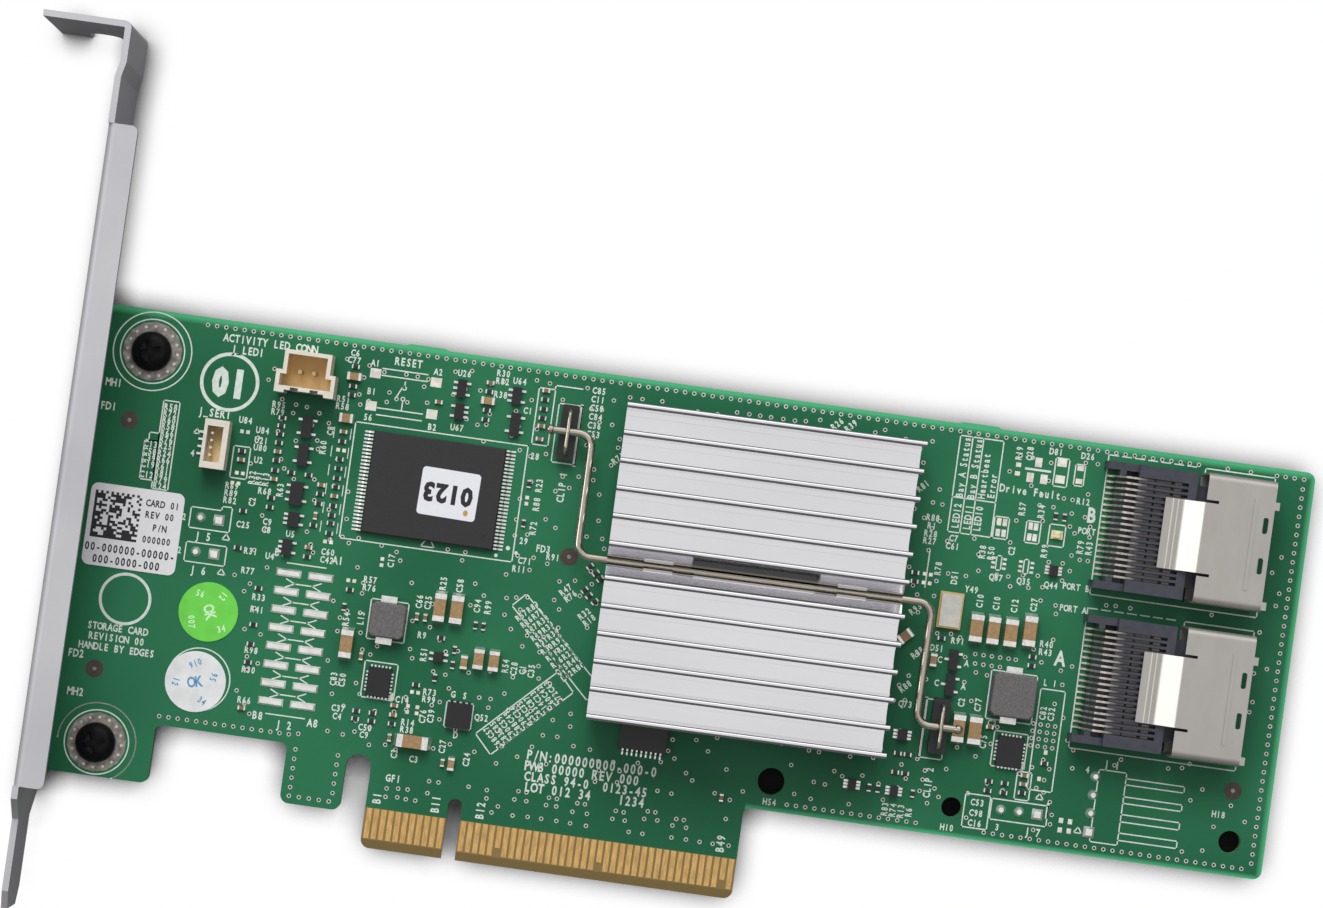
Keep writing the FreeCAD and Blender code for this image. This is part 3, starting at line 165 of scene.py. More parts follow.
# The room lights the card faintly. The camera sees it nearly white, and metal mirrors a fifth.
ROOM_LIGHT, ROOM_SEEN, ROOM_MIRRORED = 0.12, 0.95, 0.2
world = bpy.data.worlds.new("studio")
scene.world = world
world.use_nodes = True
world_tree = world.node_tree
world_light = world_tree.nodes["Background"]
world_light.inputs["Color"].default_value = (1.0, 1.0, 1.0, 1.0)
world_light.inputs["Strength"].default_value = ROOM_LIGHT
world_white = add_node(world_tree, "ShaderNodeBackground", {"Strength": ROOM_SEEN})
rays = add_node(world_tree, "ShaderNodeLightPath").outputs
world_share = maths("MAXIMUM", rays["Is Camera Ray"], times(rays["Is Glossy Ray"], ROOM_MIRRORED))
world_mix = add_node(world_tree, "ShaderNodeMixShader",
                     {"Fac": world_share, 1: world_light.outputs[0], 2: world_white.outputs[0]})
feed(world_tree.nodes["World Output"], "Surface", world_mix.outputs[0])

# The table glows white to the camera, with painted shade where the card occludes it and dark painted shade
# under its open holes.
TABLE_REACH, SHADE_REACH, SHADE_DARK, SHADE_LIGHT = 3.0, 0.0045, 0.50, 0.93
OPEN_HOLES, HOLE_REACH, HOLE_SOFT = [(42.35, 16.75), (67.25, 16.7), (105.6, 17.3)], 3, 0.3
floor_mesh = bpy.data.meshes.new("table")
corners = [(x * TABLE_REACH, y * TABLE_REACH, 0) for x, y in ((-1, -1), (1, -1), (1, 1), (-1, 1))]
floor_mesh.from_pydata(corners, [], [(0, 1, 2, 3)])
floor = new_object("table", floor_mesh)
floor.location.z = cad_box[0][2]
floor_paint, floor_tree, floor_shader = new_material("white_table")
floor_shader.inputs["Roughness"].default_value = 0.9
floor_shade = add_node(floor_tree, "ShaderNodeAmbientOcclusion", {"Distance": SHADE_REACH}, samples=12)
floor_open = add_node(floor_tree, "ShaderNodeMapRange", {
    "Value": floor_shade.outputs["AO"], "From Min": SHADE_DARK, "From Max": SHADE_LIGHT}).outputs[0]
floor_tone = mix_colour(floor_open, (0.16, 0.16, 0.165), (0.14, 0.14, 0.14))
floor_glowing = times(add_node(floor_tree, "ShaderNodeLightPath").outputs["Is Camera Ray"], floor_open)
floor_x, floor_y = placed_axes(floor_tree)[:2]
# Painted shade: a dark patch on the table under each open hole, where the glow is cut.
for x, y in OPEN_HOLES:
    under = times(band(floor_x, x - HOLE_REACH, x + HOLE_REACH, HOLE_SOFT),
                  band(floor_y, y - HOLE_REACH, y + HOLE_REACH, HOLE_SOFT))
    floor_tone = mix_colour(under, floor_tone, (0.01, 0.01, 0.01))
    floor_glowing = times(floor_glowing, maths("SUBTRACT", 1.0, under))
feed(floor_shader, "Base Color", floor_tone)
floor_glow = add_node(floor_tree, "ShaderNodeEmission", {"Strength": 1.0})
floor_blend = add_node(floor_tree, "ShaderNodeMixShader",
                       {"Fac": floor_glowing, 1: floor_shader.outputs[0], 2: floor_glow.outputs[0]})
feed(floor_tree.nodes["Material Output"], "Surface", floor_blend.outputs[0])
floor_mesh.materials.append(floor_paint)
floor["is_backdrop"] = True

# The board: glass-fibre laminate under a glossy green solder mask, sawn at its edges. The
# copper planes stop short of the rim, so the mask looks lighter there, and the connector's
# tongue is bare laminate between the contacts.
MASK_GREEN = (0.022, 0.152, 0.070)
MASK_DEEP = (0.014, 0.112, 0.051)
RIM_GREEN = (0.090, 0.500, 0.230)
LAMINATE = (0.26, 0.165, 0.065)
SAWN_EDGE = (0.11, 0.24, 0.09)
TONGUE_TOP, TONGUE_LEFT, STEP_RIGHT = 5.55, -12.4, 39.3


def object_noise(tree, scale, detail=2.0, stretch=(1, 1, 1)):
    mapping = add_node(tree, "ShaderNodeMapping", {
        "Vector": add_node(tree, "ShaderNodeTexCoord").outputs["Object"], "Scale": stretch})
    return add_node(tree, "ShaderNodeTexNoise", {
        "Vector": mapping.outputs[0], "Scale": scale, "Detail": detail}).outputs["Fac"]


def ramp(source, low, high, dark, light):
    node = add_node(source.id_data, "ShaderNodeValToRGB", {0: source})
    for element, position, tone in zip(node.color_ramp.elements, (low, high), (dark, light)):
        element.position = position
        element.color = (*tone, 1)
    return node.outputs[0]


def spread(source, low, high):
    return add_node(source.id_data, "ShaderNodeMapRange",
                    {"Value": source, "To Min": low, "To Max": high}).outputs[0]


def bump(shader, source, strength, distance):
    relief = add_node(source.id_data, "ShaderNodeBump",
                      {"Height": source, "Strength": strength, "Distance": distance})
    feed(shader, "Normal", relief.outputs[0])


def shader_of(material):
    return material.node_tree.nodes["Principled BSDF"]


# Lays a colour over the base colour that a material has so far, where the mask is one.
def lay(material, where, colour):
    shader = shader_of(material)
    feed(shader, "Base Color", mix_colour(where, shader.inputs["Base Color"].links[0].from_socket, colour))


# A surface whose colour drifts between two tones and its roughness between two values, over
# a noise with a fine relief. The colour follows a second, broader noise where one is given.
def surface(name, tones, rough, metallic, grain, relief, cloud=None, steps=(0.3, 0.7)):
    material, tree, shader = new_material(name)
    fine = object_noise(tree, *grain)
    broad = object_noise(tree, *cloud) if cloud else fine
    feed(shader, "Base Color", ramp(broad, *steps, *tones))
    feed(shader, "Roughness", spread(fine, *rough))
    shader.inputs["Metallic"].default_value = metallic
    bump(shader, fine, *relief)
    return material


# The plain kind of surface: one colour and one roughness, each with a little drift.
def finish(name, colour, roughness, metallic=0.0, scale=900.0, drift=0.12, grain=0.00001, stretch=(1, 1, 1)):
    tones = [tuple(min(1.0, channel * (1 + way * drift)) for channel in colour) for way in (-1, 1)]
    rough = (roughness * 0.85, min(1.0, roughness * 1.15))
    return surface(name, tones, rough, metallic, (scale, 3.0, stretch), (0.4, grain))


def paint(material, *names):
    for name in names:
        mesh = nodes[name].data
        mesh.materials.clear()
        mesh.materials.append(material)


# The surface's direction, and how much of it points out of the board.
def faces_up(tree):
    normal = add_node(tree, "ShaderNodeNewGeometry").outputs["Normal"]
    return normal, add_node(tree, "ShaderNodeSeparateXYZ", {0: normal}).outputs[2]


mask, mask_tree, mask_shader = new_material("solder_mask")
board_low, board_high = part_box("circuit_board")
FACE, BACK = board_high.z / MM, board_low.z / MM
across, up = placed_axes(mask_tree)[:2]
rim_bands = [
    band(up, 68.15, 70.0, 0.4),
    band(across, board_high.x / MM - 0.5, 120.0, 0.35),
    band(across, -60.0, board_low.x / MM + 0.4, 0.3),
    times(band(up, 10.0, 13.1, 0.3), maths("GREATER_THAN", across, STEP_RIGHT * MM)),
]
rim = rim_bands[0]
for strip in rim_bands[1:]:
    rim = maths("MAXIMUM", rim, strip)
tongue = times(maths("LESS_THAN", up, TONGUE_TOP * MM), maths("GREATER_THAN", across, TONGUE_LEFT * MM))
sawn = maths("LESS_THAN", maths("ABSOLUTE", faces_up(mask_tree)[1]), 0.5)
feed(mask_shader, "Base Color", ramp(object_noise(mask_tree, 28.0, 1.0), 0.42, 0.58, MASK_DEEP, MASK_GREEN))
lay(mask, times(rim, 0.68), RIM_GREEN)
lay(mask, times(tongue, 0.85), LAMINATE)
lay(mask, times(sawn, 0.8), SAWN_EDGE)
feed(mask_shader, "Roughness", spread(object_noise(mask_tree, 150.0), 0.34, 0.5))
mask_shader.inputs["Specular IOR Level"].default_value = 0.16
bump(mask_shader, object_noise(mask_tree, 2200.0, 2.0), 0.25, 0.00002)
paint(mask, "circuit_board")


# Copies of one small shape on a cloud of points. Each point carries a turn and a size.
def make_stamp_tree():
    tree = bpy.data.node_groups.new("stamp", "GeometryNodeTree")
    for name, kind in (("Places", "NodeSocketGeometry"), ("Shape", "NodeSocketObject"),
                       ("Finish", "NodeSocketMaterial"), ("Size", "NodeSocketFloat")):
        tree.interface.new_socket(name=name, in_out="INPUT", socket_type=kind)
    tree.interface.new_socket(name="Mesh", in_out="OUTPUT", socket_type="NodeSocketGeometry")
    given = tree.nodes.new("NodeGroupInput").outputs
    shape = add_node(tree, "GeometryNodeObjectInfo", {"Object": given["Shape"]})
    turn_of = add_node(tree, "GeometryNodeInputNamedAttribute", {"Name": "turn"}, data_type="FLOAT")
    about = add_node(tree, "ShaderNodeCombineXYZ", {"Z": turn_of.outputs["Attribute"]})
    size_of = add_node(tree, "GeometryNodeInputNamedAttribute", {"Name": "size"}, data_type="FLOAT_VECTOR")
    scaled = add_node(tree, "ShaderNodeVectorMath", {
        0: size_of.outputs["Attribute"], "Scale": given["Size"]}, operation="SCALE")
    stamped = add_node(tree, "GeometryNodeInstanceOnPoints", {
        "Points": given["Places"], "Instance": shape.outputs["Geometry"], "Rotation": about.outputs[0],
        "Scale": scaled.outputs[0]})
    real = add_node(tree, "GeometryNodeRealizeInstances", {0: stamped.outputs[0]})
    coat = add_node(tree, "GeometryNodeSetMaterial", {
        "Geometry": real.outputs[0], "Material": given["Finish"]})
    feed(tree.nodes.new("NodeGroupOutput"), "Mesh", coat.outputs[0])
    return tree


stamp_tree = make_stamp_tree()


def set_input(modifier, name, value):
    for item in modifier.node_group.interface.items_tree:
        if item.name == name and item.in_out == "INPUT":
            modifier[item.identifier] = value


def bake(holder, name):
    bpy.context.view_layer.update()
    graph = bpy.context.evaluated_depsgraph_get()
    mesh = bpy.data.meshes.new_from_object(holder.evaluated_get(graph), depsgraph=graph)
    bpy.data.objects.remove(holder)
    mesh.name = name
    return new_object(name, mesh)


# places: (x, y, z, turn in degrees, size x, size y, size z), millimetres; shape is one unit.
def stamp(name, shape, places, material):
    mesh = bpy.data.meshes.new(name)
    mesh.from_pydata([Vector(place[:3]) * MM for place in places], [], [])
    turns = mesh.attributes.new("turn", "FLOAT", "POINT")
    turns.data.foreach_set("value", [math.radians(place[3]) for place in places])
    sizes = mesh.attributes.new("size", "FLOAT_VECTOR", "POINT")
    sizes.data.foreach_set("vector", [value for place in places for value in place[4:7]])
    holder = new_object(name + "_points", mesh)
    modifier = holder.modifiers.new("stamp", "NODES")
    modifier.node_group = stamp_tree
    set_input(modifier, "Shape", shape)
    set_input(modifier, "Finish", material)
    set_input(modifier, "Size", 1.0)
    piece = bake(holder, name)
    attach(piece, "root")
    return piece


def unit_shape(name, build):
    mesh = bpy.data.meshes.new(name)
    work = bmesh.new()
    build(work)
    bmesh.ops.recalc_face_normals(work, faces=work.faces)
    work.to_mesh(mesh)
    work.free()
    return new_object(name, mesh)


# Plated through-holes: a tinned ring with a dark mouth. Stitching rows run along the rims;
# the rest are scattered over the board by a fixed seed, clear of the big parts.
VIA_PITCH = 1.27
STITCH_ROWS = [
    ((-42.8, 67.85), (94.4, 67.85)), ((108.95, 66.5), (108.95, 14.8)), ((72.1, 13.9), (107.7, 13.9)),
    ((44.9, 13.9), (62.7, 13.9)), ((-41.8, 13.9), (-23.9, 13.9)), ((-22.7, 12.0), (-22.7, 6.8)),
    ((-16.85, 12.0), (-16.85, 6.8)), ((-22.7, 5.6), (-17.2, 5.6)),
]
SINGLE_VIAS = [
    (98.4, 67.85), (101.6, 67.85), (105.2, 67.85), (106.4, 67.85), (107.65, 67.85), (108.95, 67.85),
    (15.9, 66.1), (17.6, 66.1), (30.7, 66.1), (32.4, 66.1), (33.9, 66.1), (35.4, 66.1), (37.1, 66.1),
    (38.7, 66.1), (7.96, 7.2), (10.03, 7.3), (11.9, 7.3), (14, 7.3), (15.9, 7.25), (18.1, 7.2), (24, 7.2),
    (25.9, 7.2), (29.9, 7.25), (31.9, 7.25), (33.8, 7.2), (35.6, 7.2), (37.8, 7.25), (7.9, 9.4),
    (9.55, 9.4), (12.55, 10.3), (13.65, 10.3), (12.3, 9.25), (13.7, 9.25), (16.5, 10.1), (17.55, 10.1),
    (16, 8.85), (18, 8.85), (21.85, 9.8), (22.95, 9.75), (21.55, 8.65), (23.25, 8.65), (26.2, 10.35),
    (27.25, 10.35), (25.85, 9.25), (27.65, 9.3), (30.2, 9.85), (31.25, 9.85), (29.8, 8.9), (31.7, 8.85),
    (36.9, 10.8), (8.3, 10.6), (9.4, 10.6), (-9.6, 8.45), (-8.05, 8.65), (-6.75, 8.7), (-9.6, 7.3),
    (-8, 7.45), (-6.8, 7.35), (-5.5, 7.35), (-4, 8.6), (-4, 10.25), (-2.7, 10.25), (1.45, 10.25),
    (4, 10.15), (4.1, 9), (5.8, 8.15), (5.05, 7.2), (62.4, 48.3), (64.85, 48.3), (66.45, 49.25),
    (69, 49.05), (70.6, 49.05), (72.6, 49.5), (74.6, 49.7), (75.45, 48.25), (73.55, 47.9), (71.05, 47.75),
    (75.45, 46.4), (67.6, 37.9), (68.75, 37.9), (69.9, 37.9), (71.05, 37.9), (72.2, 37.9), (73.2, 37.9),
    (67.75, 36.6), (68.9, 36.6), (70.05, 36.6), (71.2, 36.6), (76.7, 60.7), (77.9, 60.65), (79.9, 61.7),
    (78.05, 58.8), (79.9, 58.55), (81, 58.85), (78.05, 57), (80.8, 57.35), (78.8, 56.15), (80.9, 55.9),
    (78.8, 53.1), (80, 52.65), (81.1, 52.65), (77.75, 51.85), (78.85, 50.95), (78, 49.5), (84.45, 47),
    (85.75, 47.1), (80.65, 66), (79, 65.95),
]
BARE_ZONES = [
    (-57, 2, -43.5, 15.5), (-41.5, 14.8, -33, 33.2), (-32.3, 59.8, -23.8, 66.2), (-29.2, 16, -20.5, 37.4),
    (-19.6, 42.4, 1.9, 57), (15.5, 22.3, 56.6, 65.4), (81.8, 27.2, 105.6, 46.4), (81.8, 48.2, 105.6, 67.2),
    (-15.4, 28.2, -10, 34.8), (-15, 20.4, -10.4, 25.4), (-2.9, 17.8, 0.5, 21.8), (70, 29.8, 76.8, 37),
    (71.6, 23, 76.4, 28), (61.5, 40.5, 75.5, 46), (65.5, 25.4, 70, 29.6), (-6.8, 32, -2.5, 36),
    (39.8, 14.3, 44.8, 19.2), (65.4, 14.8, 69.1, 18.6), (103.4, 15, 107.8, 19.6), (72, 15.6, 80.8, 19),
    (5.8, 55.2, 10.2, 64.4), (61.2, 22.6, 65.6, 31.2), (-9.6, 14, -4.6, 16.6), (103.6, 22.9, 106.6, 25.7),
    (-57, 14.5, -34.4, 67.2), (-24.2, 4, -15.2, 13), (84, 14.2, 99, 25.2), (-12.5, 6.2, 39.5, 13),
    (61, 46, 77, 50.5), (66.5, 36, 74.5, 38.6), (76.2, 49, 82, 66.6), (61.4, 53.8, 67.8, 67.4),
]


# Where vias may stand: on the board's body, or on the connector's tongue clear of its key.
BODY_LOW, BODY_AREA, TONGUE_AREA, KEY_CLEAR = 13.9, (-55.4, 109.6, 67.2), (-12.0, 39.0, 6.2), 2.0
VIA_COUNT, VIA_APART, BLOCK_X, BLOCK_Y = 760, 1.15, 76.8, 26.6
SCATTER_X, SCATTER_Y = (-55, 109), (6.5, 67)


def open_board(x, y):
    if any(x0 < x < x1 and y0 < y < y1 for x0, y0, x1, y1 in BARE_ZONES):
        return False
    if y > BODY_LOW:
        return BODY_AREA[0] < x < BODY_AREA[1] and y < BODY_AREA[2]
    return TONGUE_AREA[0] < x < TONGUE_AREA[1] and y > TONGUE_AREA[2] and abs(x) > KEY_CLEAR


vias = list(SINGLE_VIAS)
for (x0, y0), (x1, y1) in STITCH_ROWS:
    steps = round(math.hypot(x1 - x0, y1 - y0) / VIA_PITCH)
    vias += [(x0 + (x1 - x0) * i / steps, y0 + (y1 - y0) * i / steps) for i in range(steps + 1)]
vias += [(BLOCK_X + i, BLOCK_Y + j) for i in range(4) for j in range(4)]
chance = random.Random(7)
while len(vias) < VIA_COUNT:
    x, y = chance.uniform(*SCATTER_X), chance.uniform(*SCATTER_Y)
    if open_board(x, y) and all(math.hypot(x - a, y - b) > VIA_APART for a, b in vias):
        vias.append((x, y))

RING_RADIUS, HOLE_RADIUS, RING_HIGH, HOLE_HIGH = 0.30, 0.165, 0.02, 0.032


def unit_disc(work):
    bmesh.ops.create_cone(work, cap_ends=True, segments=14, radius1=MM, radius2=MM, depth=MM)


disc = unit_shape("unit_disc", unit_disc)
tin = finish("tinned_copper", (0.60, 0.58, 0.54), 0.42, 0.4, 1500.0, 0.2)
dark_hole = finish("hole_shadow", (0.004, 0.007, 0.005), 0.8)
for word, level in (("front", FACE), ("back", BACK)):
    for kind, radius, high, material, slot in (("rings", RING_RADIUS, RING_HIGH, tin, "solder"),
                                               ("holes", HOLE_RADIUS, HOLE_HIGH, dark_hole, "solder_mask")):
        stamp("via_%s_%s" % (kind, word), disc, [(x, y, level, 0, radius, radius, high) for x, y in vias],
              material)

# Edge contacts: hard gold over nickel on copper, plated onto both faces of the connector and
# wiped a little by earlier insertions.
gold = finish("contact_gold", (0.68, 0.42, 0.155), 0.34, 0.85, 2600.0, 0.22, 0.000004, (1, 0.25, 1))
paint(gold, "edge_contacts_front", "edge_contacts_back")

# Bracket: one folded steel sheet, zinc plated, with a fine rolled grain along its length and
# a faint cloud in the plating.
zinc = surface("zinc_plate", ((0.48, 0.475, 0.50), (0.54, 0.535, 0.555)), (0.42, 0.58), 0.35,
               (900.0, 3.0, (4.0, 0.25, 1.5)), (0.35, 0.00001), (60.0, 2.0), (0.35, 0.65))
paint(zinc, "mounting_bracket")

# Screws: black oxide pan heads over bare grounding rings that are printed with a circle of
# dots, each inside two printed circles.
black_steel = finish("black_oxide", (0.004, 0.004, 0.005), 0.30, 0.0, 1800.0, 0.3)
shader_of(black_steel).inputs["Specular IOR Level"].default_value = 0.12
paint(black_steel, "bracket_screws")
FIX_X, FIX_HIGH, FIX_LOW = -49.8, 63.2, 9.2
GROUND_RADIUS, DOT_CIRCLE, DOT_RADIUS, DOTS = 4.07, 3.45, 0.2, 16
bare_ring = finish("bare_ground_ring", (0.26, 0.235, 0.21), 0.5, 0.5, 1100.0, 0.5, 0.00002)
stamp("ground_rings", disc, [(FIX_X, y, 0, 0, GROUND_RADIUS, GROUND_RADIUS, 0.06)
                             for y in (FIX_HIGH, FIX_LOW)], bare_ring)


def circle(x, y, across, along, count=16):
    angles = [2 * math.pi * i / count for i in range(count)]
    return [(x + across * math.cos(a), y + along * math.sin(a)) for a in angles]


stamp("ground_dots", disc, [(*dot, 0, 0, DOT_RADIUS, DOT_RADIUS, 0.08) for middle in (FIX_HIGH, FIX_LOW)
                            for dot in circle(FIX_X, middle, DOT_CIRCLE, DOT_CIRCLE, DOTS)], tin)

# Heatsink: bright extruded aluminium with fine drawn lines along the fins and sawn ends. A cutter sank the
# middle of its channel. Painted shade darkens that pocket, the groove along the wire and one flank of each
# fin tip, and a painted highlight brightens the shoulder south of the groove.
SINK_X, SINK_Y, SINK_TURN = 36.05, 43.8, 0.45
FIRST_FIN, FIN_STEP, FIN_HALF = 2.33, 3.734, 0.34
FOOT_LOW, FOOT_HIGH = 4.0, 5.42
# Bands on the profile, across, along or up: low, high and the softness of the edges.
FLANK, TIP_UP = (0.02, 0.26, 0.03), (12.9, 14.0)
SHOULDER, SHOULDER_UP = (-2.1, -0.72, 0.1), (5.8, 8.2)
MILLED, MILLED_ALONG, MILLED_UP = (0.45, 2.2, 0.2), (-8.7, 8.7, 0.15), (4.0, 7.3)
GROOVE, GROOVE_UP = (-0.8, 0.8), (4.0, 7.2, 0.3)
aluminium = surface("extruded_aluminium", ((0.81, 0.80, 0.825), (0.86, 0.85, 0.875)), (0.10, 0.16), 1.0,
                    (700.0, 3.0, (0.06, 6.0, 6.0)), (0.12, 0.000003), (90.0, 2.0, (0.4, 1, 1)))
along, over, high = placed_axes(aluminium.node_tree, SINK_X, SINK_Y, SINK_TURN)
# The painted shade on one flank of each tip repeats with the fins. Twelve steps are added to keep the
# divided length positive.
for side, test in ((1, "GREATER_THAN"), (-1, "LESS_THAN")):
    shifted = maths("ADD", over, (FIN_STEP * 12 - side * FIRST_FIN + FIN_HALF) * MM)
    flank_shade = times(maths(test, over, 0.0), band(high, *TIP_UP),
                  band(maths("MODULO", shifted, FIN_STEP * MM), *FLANK))
    lay(aluminium, times(flank_shade, 0.75), (0.16, 0.16, 0.17))
shoulder_highlight = times(band(over, *SHOULDER), band(high, *SHOULDER_UP))
pocket_shade = times(band(over, *MILLED), band(along, *MILLED_ALONG), band(high, *MILLED_UP))
groove_shade = times(band(over, *GROOVE), band(high, *GROOVE_UP))
# Painted highlight on the shoulder south of the groove; painted shade in the milled pocket and along the
# groove.
lay(aluminium, shoulder_highlight, (1.0, 1.0, 0.99))
lay(aluminium, pocket_shade, (0.07, 0.07, 0.07))
lay(aluminium, times(groove_shade, 0.6), (0.22, 0.19, 0.15))
# The die burnishes the fins' filleted feet flat, so they catch the light as the floor does.
skin, skin_up = faces_up(aluminium.node_tree)
foot = times(band(high, FOOT_LOW, FOOT_HIGH), maths("GREATER_THAN", skin_up, 0.3), 0.9)
flattened = add_node(aluminium.node_tree, "ShaderNodeMix", {"Factor": foot, "A": skin, "B": (0, 0, 1)},
                     data_type="VECTOR")
flat_unit = add_node(aluminium.node_tree, "ShaderNodeVectorMath", {0: flattened.outputs["Result"]},
                     operation="NORMALIZE")
feed(shader_of(aluminium).inputs["Normal"].links[0].from_node, "Normal", flat_unit.outputs[0])
paint(aluminium, "heatsink")

# Clip, anchors and hoops: one polished spring wire, hooked under two wire staples that stand
# in black moulded feet on the board.
spring = finish("spring_wire", (0.50, 0.455, 0.375), 0.16, 1.0, 600.0, 0.08, 0.000003, (0.3, 0.3, 1))
black_plastic = finish("black_moulding", (0.013, 0.013, 0.015), 0.45, 0.0, 1600.0, 0.25)
paint(spring, "heatsink_clip", "anchor_hoop_left", "anchor_hoop_right")
paint(black_plastic, "clip_anchor_left", "clip_anchor_right")

# Controller and its heat pad: a green laminate package and a soft grey pad, seen only from
# the sides under the heatsink.
paint(finish("package_laminate", (0.03, 0.11, 0.06), 0.5, 0.0, 800.0, 0.15), "controller_chip")
paint(finish("heat_pad", (0.32, 0.33, 0.35), 0.85, 0.0, 900.0, 0.12, 0.00003), "thermal_pad")

# Moulded packages: charcoal epoxy with a matt, faintly pebbled skin, and tinned leads that
# are bent and soldered to the board.
moulded = finish("moulded_epoxy", (0.018, 0.018, 0.0195), 0.55, 0.0, 2600.0, 0.16, 0.00002)
small_moulded = finish("small_epoxy", (0.008, 0.008, 0.0095), 0.42, 0.0, 2600.0, 0.2, 0.00001)
leads = finish("tinned_lead", (0.80, 0.80, 0.78), 0.28, 0.9, 2200.0, 0.14, 0.000008)
paint(moulded, "flash_memory_body")
paint(small_moulded, "regulator_left", "regulator_right", "power_transistor", "interface_chip",
      "small_transistors")
paint(leads, "flash_memory_leads", "transistor_leads", "serial_header_leads", "inductor_terminals",
      "interface_leads", "regulator_pads")
paint(finish("pin_gold", (0.55, 0.42, 0.22), 0.35, 0.8, 2200.0, 0.2), "lamp_header_pins")

# Internal ports: blue-grey glass-filled plastic in a nickelled steel shell. A painted highlight lies on the
# shell's latch ramp and two creases before it, and painted shade dims the contacts' far ends in their slots,
# so the contacts show as short tinned lines.
SHELL_TOP = (6.0, 8.4)
port_plastic = finish("port_plastic", (0.038, 0.040, 0.055), 0.42, 0.0, 1200.0, 0.2, 0.00001)
nickel = surface("nickelled_steel", ((0.43, 0.41, 0.38), (0.47, 0.45, 0.42)), (0.34, 0.46), 0.7,
                 (300.0, 3.0, (1.5, 0.6, 1)), (0.4, 0.000006))
shell_along, shell_over, shell_high = placed_axes(nickel.node_tree)
RAMP, CREASES = (92.15, 94.75, 0.1), ((90.6, 90.72), (91.3, 91.42))
# Painted highlights on the latch ramp and the two creases.
for marks, tone in (((RAMP,), (0.95, 0.93, 0.88)), (CREASES, (0.82, 0.79, 0.74))):
    for mark in marks:
        lay(nickel, times(band(shell_along, *mark), band(shell_high, *SHELL_TOP)), tone)
port_leads = finish("port_contact_tin", (0.58, 0.54, 0.46), 0.30, 0.85, 1500.0, 0.35, 0.000008, (1, 0.2, 1))
# Painted shade on the contacts where they run into the slots.
lay(port_leads, band(placed_axes(port_leads.node_tree)[0], 86.6, 100.0, 0.5), (0.13, 0.115, 0.10))
paint(port_plastic, "port_a_housing", "port_b_housing")
paint(nickel, "port_a_shell", "port_b_shell")
paint(port_leads, "port_a_contacts", "port_b_contacts")

# Headers: off-white nylon mouldings, open at the top and deeper in colour down in their
# wells, which are given here by their sides and their top.
WELLS = [(-31.3, -24.8, 60.9, 65.35, 5.4), (-40.35, -38.3, 49.4, 54.1, 3.9)]
cream = surface("cream_nylon", ((0.60, 0.56, 0.48), (0.68, 0.64, 0.56)), (0.44, 0.58), 0.0, (900.0, 3.0),
                (0.4, 0.00002))
cream_x, cream_y, cream_z = placed_axes(cream.node_tree)
for x0, x1, y0, y1, top in WELLS:
    well = times(band(cream_x, x0, x1), band(cream_y, y0, y1), band(cream_z, 0.4, top, 0.4))
    lay(cream, times(well, 0.9), (0.80, 0.56, 0.24))
paint(cream, "lamp_header_housing", "serial_header_housing")

# Inductors, oscillator and lamp: pressed ferrite, a metal lid on a gold-plated seal frame,
# and a drop of amber resin.
ferrite = finish("pressed_ferrite", (0.125, 0.12, 0.12), 0.62, 0.15, 5200.0, 0.35, 0.00003)
paint(ferrite, "inductor_left", "inductor_right")
lid = finish("oscillator_lid", (0.60, 0.575, 0.53), 0.4, 0.7, 1300.0, 0.1)
lay(lid, band(placed_axes(lid.node_tree)[2], -0.5, 0.68, 0.04), (0.62, 0.43, 0.15))
paint(lid, "clock_oscillator")
paint(finish("lamp_resin", (0.66, 0.60, 0.36), 0.3, 0.0, 2600.0, 0.2), "status_lamp")

# Ceramic chip parts: a coloured body between two plated ends, each end wetted by a small
# slope of solder on its land.
paint(finish("resistor_glaze", (0.012, 0.012, 0.014), 0.3, 0.0, 2400.0, 0.2), "chip_resistors")
paint(finish("small_capacitor_ceramic", (0.20, 0.115, 0.055), 0.4, 0.0, 2600.0, 0.18), "small_capacitors")
paint(finish("capacitor_ceramic", (0.31, 0.195, 0.09), 0.4, 0.0, 2600.0, 0.18), "large_capacitors")


def islands(name):
    work = bmesh.new()
    work.from_mesh(nodes[name].data)
    bmesh.ops.remove_doubles(work, verts=work.verts, dist=1e-7)
    left = set(work.verts)
    found = []
    while left:
        group = [left.pop()]
        for vert in group:
            for edge in vert.link_edges:
                other = edge.other_vert(vert)
                if other in left:
                    left.discard(other)
                    group.append(other)
        found.append([vert.co.copy() for vert in group])
    work.free()
    return found


# Each chip's middle, turn, length, width and height in millimetres.
def chip_places(name):
    chips = []
    for points in islands(name):
        ground = [point for point in points if point.z < min(p.z for p in points) + 1e-6]
        middle = sum(ground, Vector()) / len(ground)
        first = ground[0]
        short, long = sorted(((point - first) for point in ground[1:]), key=lambda s: s.length)[:2]
        turn = math.degrees(math.atan2(long.y, long.x))
        high = max(point.z for point in points)
        chips.append((middle.x / MM, middle.y / MM, turn, long.length / MM, short.length / MM, high / MM))
    return chips


# A plated end, one unit each way, with a solder slope outside it.
def unit_cap(work):
    profile = [(-0.5, 0.0), (0.95, 0.0), (0.72, 0.22), (0.5, 0.62), (0.46, 1.0), (-0.5, 1.0)]
    near = [work.verts.new(Vector((x, -0.5, z)) * MM) for x, z in profile]
    far = [work.verts.new(Vector((x, 0.5, z)) * MM) for x, z in profile]
    work.faces.new(near)
    work.faces.new(list(reversed(far)))
    for i in range(len(profile)):
        j = (i + 1) % len(profile)
        work.faces.new((near[j], near[i], far[i], far[j]))


